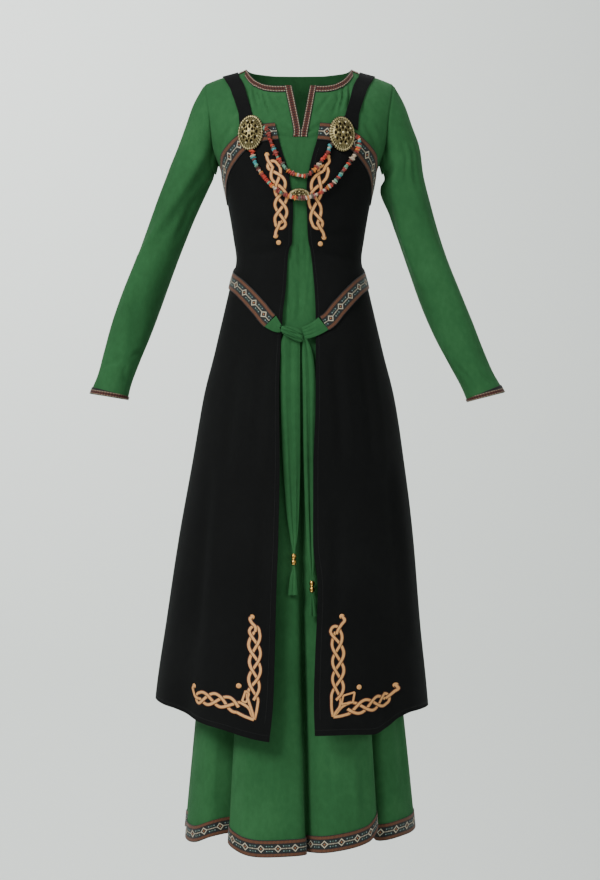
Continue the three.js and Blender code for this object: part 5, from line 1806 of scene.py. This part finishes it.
def paint_highlight(piece):
    """Painted highlight: the raised metal gets a high relief value, so it takes the palest bronze colours.
    """
    count = len(piece.data.vertices)
    attributes = piece.data.attributes
    relief = attributes.get("relief") or attributes.new("relief", "FLOAT", "POINT")
    relief.data.foreach_set("value", np.full(count, 0.9, np.float32))


for name, (x, z) in BROOCHES.items():
    oval_boss(f"bronze_brooch_{name}", x, z, BROOCH, BROOCH_PROFILE, 2.4, "bronze", f"brooch_{name}",
              STUD_RINGS, ((0.90, 2.0, 0.75, "rope"),))
oval_boss("bronze_medallion", MEDALLION["x"], MEDALLION["z"],
          {**MEDALLION, "lift": 3.2}, MEDALLION_PROFILE, 1.0, "bronze",
          "medallion", ((1, 0.0, 1.6, 0), (8, 0.52, 1.0, 0)), ((0.88, 1.5, 0.6, "rope"),))


# ---- embroidered plaits ----------------------------------------------------------------

PLAIT_HALF = 10.4        # from the middle line to the middle of an outer strand
STRAND_HALF = 3.5       # half the width of one strand
PLAIT_TURN = 86.0       # length in which a strand comes back to its place


def front_surface(x, z):
    """The apron's front over x and z, creases included."""
    x, z = np.asarray(x, float), np.asarray(z, float)
    point, facing = chest_place(x, z)
    depth = crease_depth(APRON_FRONT_CREASES, point[..., 0], point[..., 2])
    return point + facing * depth[..., None], facing


class PlaitLine:
    """A line on the apron's front, with places measured along and across it."""

    def __init__(self, corners):
        flat = through(corners, 24)
        solid, _ = front_surface(flat[:, 0], flat[:, 1])
        steps = np.linalg.norm(np.diff(solid, axis=0), axis=1)
        self.s = np.concatenate([[0], np.cumsum(steps)])
        self.flat = flat
        ahead = np.gradient(flat, axis=0)
        ahead_solid = np.gradient(solid, axis=0)
        self.stretch = np.linalg.norm(ahead_solid, axis=1) / np.linalg.norm(ahead, axis=1)
        self.across = unit(np.stack([ahead[:, 1], -ahead[:, 0]], -1))
        self.ahead = unit(ahead)

    def place(self, s, offset):
        """Flat x and z; before the start and past the end it runs straight on."""
        inside = np.clip(s, 0, self.s[-1])
        parts = [np.interp(inside, self.s, column) for column in
                 (*self.flat.T, *self.across.T, *self.ahead.T, self.stretch)]
        over = (s - inside) / parts[6]
        return np.stack([parts[0] + parts[2] * offset + parts[4] * over,
                         parts[1] + parts[3] * offset + parts[5] * over], -1)


def strand_mesh(line, heights, half):
    """One embroidered strand: a low dome along a flat line, with closed ends."""
    ahead = unit(np.gradient(line, axis=0))
    side = np.stack([-ahead[:, 1], ahead[:, 0]], -1)
    shape = ((-1.0, 0.0), (-0.72, 0.62), (-0.3, 0.92), (0.3, 0.92), (0.72, 0.62), (1.0, 0.0),
             (0.0, -0.1))
    grid, lay = [], []
    travelled = np.concatenate([[0], np.cumsum(np.linalg.norm(np.diff(line, axis=0), axis=1))])
    for across, rise in shape:
        where = line + side * (across * half)
        point, facing = front_surface(where[:, 0], where[:, 1])
        grid.append(point + facing * (0.25 + rise * 0.7 + heights)[:, None])
        lay.append(np.stack([travelled, np.full(len(line), across)], -1))
    return np.stack(grid, 1), np.stack(lay, 1)


def stitched_strands(name, strands):
    """Joins the strands of one motif to one closed mesh."""
    verts, faces, lays, start = [], [], [], 0
    for grid, lay in strands:
        rows, columns = grid.shape[:2]
        ids = np.arange(rows * columns).reshape(rows, columns) + start
        loop = np.concatenate([ids, ids[:, :1]], 1)
        flat = np.concatenate([lay, lay[:, :1]], 1)
        quads = np.stack([loop[:-1, :-1], loop[1:, :-1], loop[1:, 1:], loop[:-1, 1:]], -1)
        marks = np.stack([flat[:-1, :-1], flat[1:, :-1], flat[1:, 1:], flat[:-1, 1:]], -2)
        middle = grid[:, 2] - grid[:, 6]
        ring = grid[0, 1] - grid[0, 5]
        along = grid[1, 2] - grid[0, 2]
        if np.dot(np.cross(along, ring), middle[0]) < 0:
            quads, marks = quads[..., ::-1], marks[..., ::-1, :]
            caps = [ids[0].tolist(), ids[-1][::-1].tolist()]
        else:
            caps = [ids[0][::-1].tolist(), ids[-1].tolist()]
        verts.append(grid.reshape(-1, 3))
        faces += quads.reshape(-1, 4).tolist() + caps
        lays += list(marks.reshape(-1, 4, 2)) + [np.zeros((columns, 2))] * 2
        start += rows * columns
    return mesh_piece(name, np.concatenate(verts), faces, THREAD, lays, 60)


def plait_strands(route, length, first_phase):
    """Three strands that cross in turn; the middle one is free at both ends."""
    strands = []
    turns = max(1, round(length / PLAIT_TURN * 3)) / 3
    s = np.linspace(0, length, int(length / 1.4))
    for k in range(3):
        phase = 2 * np.pi * (turns * s / length + k / 3) + first_phase
        line = route.place(s, PLAIT_HALF * np.sin(phase))
        strands.append(strand_mesh(line, 0.45 + 0.45 * np.sin(2 * phase), STRAND_HALF))
    return strands


def end_loop(route, s, outward, height):
    """Half a turn that joins the two outer strands past an end of the plait."""
    turn = np.linspace(-90, 90, 30)
    reach = PLAIT_HALF * 0.866
    line = route.place(s + outward * reach * 1.1 * cos_of(turn), reach * sin_of(turn))
    return strand_mesh(line, np.full(len(line), height), STRAND_HALF)


def stroke(points, height, half=STRAND_HALF, steps=8):
    line = through(points, steps)
    return strand_mesh(line, np.full(len(line), height), half)


def ball(x, z, radius=4.4):
    """A small filled disc of stitches."""
    turn = np.linspace(0, 360, 25)[:-1]
    grid = []
    for share, rise in ((1.0, -0.1), (0.97, 0.3), (0.75, 0.9), (0.35, 1.2), (0.06, 1.25)):
        px, pz = x + radius * share * cos_of(turn), z + radius * share * sin_of(turn)
        point, facing = front_surface(px, pz)
        grid.append(point + facing * (0.25 + rise))
    return np.stack(grid), None


def dots_mesh(name, grids):
    verts, faces, lays, start = [], [], [], 0
    for grid, _ in grids:
        rows, columns = grid.shape[:2]
        ids = np.arange(rows * columns).reshape(rows, columns) + start
        for r in range(rows - 1):
            for c in range(columns):
                d = (c + 1) % columns
                faces.append([ids[r, c], ids[r, d], ids[r + 1, d], ids[r + 1, c]])
                edge = 1.0 if r == 0 else 0.0
                lays.append(np.array([[c, edge], [c + 1, edge], [c + 1, 0], [c, 0]], float))
        faces += [ids[0][::-1].tolist(), ids[-1].tolist()]
        lays += [np.zeros((columns, 2))] * 2
        verts.append(grid.reshape(-1, 3))
        start += rows * columns
    return mesh_piece(name, np.concatenate(verts), faces, THREAD, lays, 60)


BUST_PLAITS = {
    "right": {
        "line": [(-46, -177), (-39.3, -193), (-32.3, -217.2), (-32.1, -239.6), (-31.7, -262),
                 (-32.6, -277)],
        "curl": [(-46.5, -179), (-50.7, -172.5), (-55, -165.6), (-57.5, -157)],
        "tail": [(-33.5, -274), (-36, -282), (-40.9, -292), (-41.5, -299.5)],
        "curl_ball": (-57, -156), "tail_ball": (-41.2, -299.5), "dot": (-36.1, -311.3),
    },
    "left": {
        "line": [(43, -186), (37, -198), (30.3, -217.3), (28, -238), (30, -260), (33, -277)],
        "curl": [(43.5, -186), (47.2, -177.3), (53.6, -168.5), (52.5, -160)],
        "tail": [(32.5, -276), (38.8, -287), (43.9, -295.3), (45.1, -302.2)],
        "curl_ball": (51.8, -159.5), "tail_ball": (45, -302.2), "dot": (38.4, -313.5),
    },
}


def bust_plait(name):
    motif = BUST_PLAITS[name]
    route = PlaitLine(motif["line"])
    length = route.s[-1]
    strands = plait_strands(route, length, 0.0)
    strands.append(end_loop(route, 0, -1, 0.1))
    strands.append(end_loop(route, length, 1, 0.1))
    strands.append(stroke(motif["curl"], 0.9))
    strands.append(stroke(motif["tail"], 0.9))
    plait = stitched_strands(f"bust_plait_{name}", strands)
    dots = dots_mesh(f"bust_plait_dots_{name}",
                     [ball(*motif[key]) for key in ("curl_ball", "tail_ball", "dot")])
    for piece in (plait, dots):
        dress(piece, "black_cloth")


HEM_PLAITS = {
    "right": {
        "up": [(-81.1, -1118), (-81.2, -1105), (-78.6, -1078), (-77.6, -1052), (-78.7, -1022),
               (-78.8, -1000)],
        "out": [(-105, -1131), (-112.6, -1128.3), (-129.3, -1122.6), (-146.1, -1119.7),
                (-163.1, -1118.3), (-177, -1118.7)],
        "tip": (-79.4, -1152.4),
        "curl_up": [(-77.2, -1000), (-76.8, -992), (-83.8, -983.9), (-86.4, -976.8),
                    (-83.1, -974.1)],
        "curl_out": [(-178, -1120), (-186.6, -1116.7), (-191.6, -1108), (-193.7, -1102.6),
                     (-191.6, -1099.1)],
        "dot": (-105, -1093.8),
        "diamond": [(-100, -1120.6), (-94.4, -1100.9), (-87.8, -1106.5), (-93.4, -1123.6)],
    },
    "left": {
        "up": [(65.8, -1118), (68.3, -1105.1), (69.4, -1077.5), (69.4, -1051.5), (68.5, -1022.1),
               (64.5, -1000)],
        "out": [(86, -1134), (93, -1133.4), (108, -1131.4), (124.6, -1128.9), (143.2, -1125.5),
                (160, -1121)],
        "tip": (60, -1147),
        "curl_up": [(66.5, -1004), (68.5, -997.7), (75.1, -988), (80.8, -980), (76.8, -973.3)],
        "curl_out": [(161, -1120), (168.8, -1115.2), (175.7, -1109.2), (180.9, -1104.7),
                     (177.5, -1098.5)],
        "dot": (105.4, -1097.1),
        "diamond": [(78.2, -1110.2), (98.1, -1104.3), (94.7, -1123.7), (74.9, -1126.3)],
    },
}


def hem_plait(name):
    """The corner motif: a plait up the opening, one along the hem and a point between."""
    motif = HEM_PLAITS[name]
    strands, starts = [], []
    for key in ("up", "out"):
        route = PlaitLine(motif[key])
        length = route.s[-1]
        strands += plait_strands(route, length, 0.0)
        strands.append(end_loop(route, length, 1, 0.1))
        starts.append([route.place(0.0, PLAIT_HALF * np.sin(2 * np.pi * k / 3)) for k in range(3)])
    tip = np.array(motif["tip"], float)
    corners = [np.array(corner, float) for corner in motif["diamond"]]
    middle = sum(corners) / 4
    for order, ends in enumerate(starts):
        inner, outer = sorted(ends[1:], key=lambda end: math.dist(end, middle))
        aside = (mix(ends[0], tip, 0.5) - mix(middle, tip, 0.5)) * 0.28
        strands.append(stroke([outer, mix(outer, tip, 0.5) + aside * 0.4, mix(outer, tip, 0.97)],
                              0.2 + 0.4 * order, 3.4))
        strands.append(stroke([inner, mix(middle, tip, 0.42) + aside, mix(middle, tip, 0.72) + aside * 0.7,
                               mix(inner, tip, 0.96)], 0.6 - 0.3 * order, 3.2))
    inner = [mix(corner, middle, 0.1) for corner in corners]
    for a, b in zip(inner, inner[1:] + inner[:1]):
        strands.append(stroke([a, mix(a, b, 0.5), b], 0.8, 2.3))
    strands.append(stroke(motif["curl_up"], 0.9))
    strands.append(stroke(motif["curl_out"], 0.9))
    plait = stitched_strands(f"hem_plait_{name}", strands)
    dots = dots_mesh(f"hem_plait_dots_{name}", [
        ball(*motif["curl_up"][-1]), ball(*motif["curl_out"][-1]), ball(*motif["dot"])])
    for piece in (plait, dots):
        dress(piece, "black_cloth")


for name in ("right", "left"):
    bust_plait(name)
    hem_plait(name)


# ---- stitches --------------------------------------------------------------------------

def edge_line(skin, number, row, lift):
    """A row of a skin's grid, moved out of the cloth."""
    ids = skin.ids(number)[row]
    return skin.points[ids] + skin.normals[ids] * lift


def column_line(skin, number, column, first, last, lift):
    ids = skin.ids(number)[first:last, column]
    return skin.points[ids] + skin.normals[ids] * lift


def stitch_rows():
    """Rows of sewing just inside the apron's open edges and just above its hem."""
    stitch = {"Spacing": 3.2 * MM, "Size": (0.28 * MM, 0.28 * MM, 1.15 * MM),
              "Tilt": (0.0, 0.0, 0.0)}
    band = sum(APRON_ROW_STEPS[-2:])
    black = [column_line(apron, k, 2, 3, -2 - band, 0.1) for k in (0, 1)]
    black += [edge_line(apron, k, 1, 0.1) for k in (0, 1, 2)]
    piece = GRAINS_ALONG.grow("apron_stitches", guide_lines(black),
                              {**stitch, "Finish": BLACK_THREAD})
    dress(piece, "black_cloth")


stitch_rows()


# ---- room ------------------------------------------------------------------------------

def pale_room():
    """A far paper wall with its foot well below the hem, so that every side can be seen."""
    floor, foot, sweep, top, half_width = -3.2, 6.0, 1.5, 6.0, 9.0
    profile = [(-8.0, floor), (foot, floor)]
    profile += [(foot + sweep * sin_of(a), floor + sweep - sweep * cos_of(a))
                for a in range(6, 91, 6)]
    profile += [(foot + sweep, top)]
    verts = [(x, y, z) for y, z in profile for x in (-half_width, half_width)]
    faces = [(2 * k, 2 * k + 1, 2 * k + 3, 2 * k + 2) for k in range(len(profile) - 1)]
    mesh = bpy.data.meshes.new("backdrop")
    mesh.from_pydata(verts, [], faces)
    mesh.shade_smooth()
    paper = Finish("pale_paper", (232, 237, 233), roughness=0.95)
    mesh.materials.append(paper.material)
    room = bpy.data.objects.new("backdrop", mesh)
    bpy.context.scene.collection.objects.link(room)


def soft_light(name, place, size, power_watts, target=(0, 0, -0.6)):
    data = bpy.data.lights.new(name, "AREA")
    data.shape = "DISK"
    data.size = size
    data.energy = power_watts
    lamp = bpy.data.objects.new(name, data)
    lamp.location = place
    aim = np.array(target) - np.array(place)
    flat = math.hypot(aim[0], aim[1])
    lamp.rotation_euler = (math.atan2(flat, -aim[2]), 0, math.atan2(aim[1], aim[0]) - math.pi / 2)
    bpy.context.scene.collection.objects.link(lamp)


def pale_sky():
    world = bpy.data.worlds.new("room_light")
    world.use_nodes = True
    world.node_tree.nodes["Background"].inputs[0].default_value = (0.93, 0.97, 0.95, 1)
    world.node_tree.nodes["Background"].inputs[1].default_value = 0.42
    bpy.context.scene.world = world


pale_room()
pale_sky()
soft_light("key", (-2.7, -3.1, 2.3), 2.2, 205)
soft_light("fill", (2.8, -3.4, 0.4), 2.6, 34)
soft_light("back", (0.8, 2.0, 2.4), 1.8, 50)
soft_light("paper", (-2.2, 3.6, 2.2), 2.0, 330, (-0.6, 7.5, -0.9))
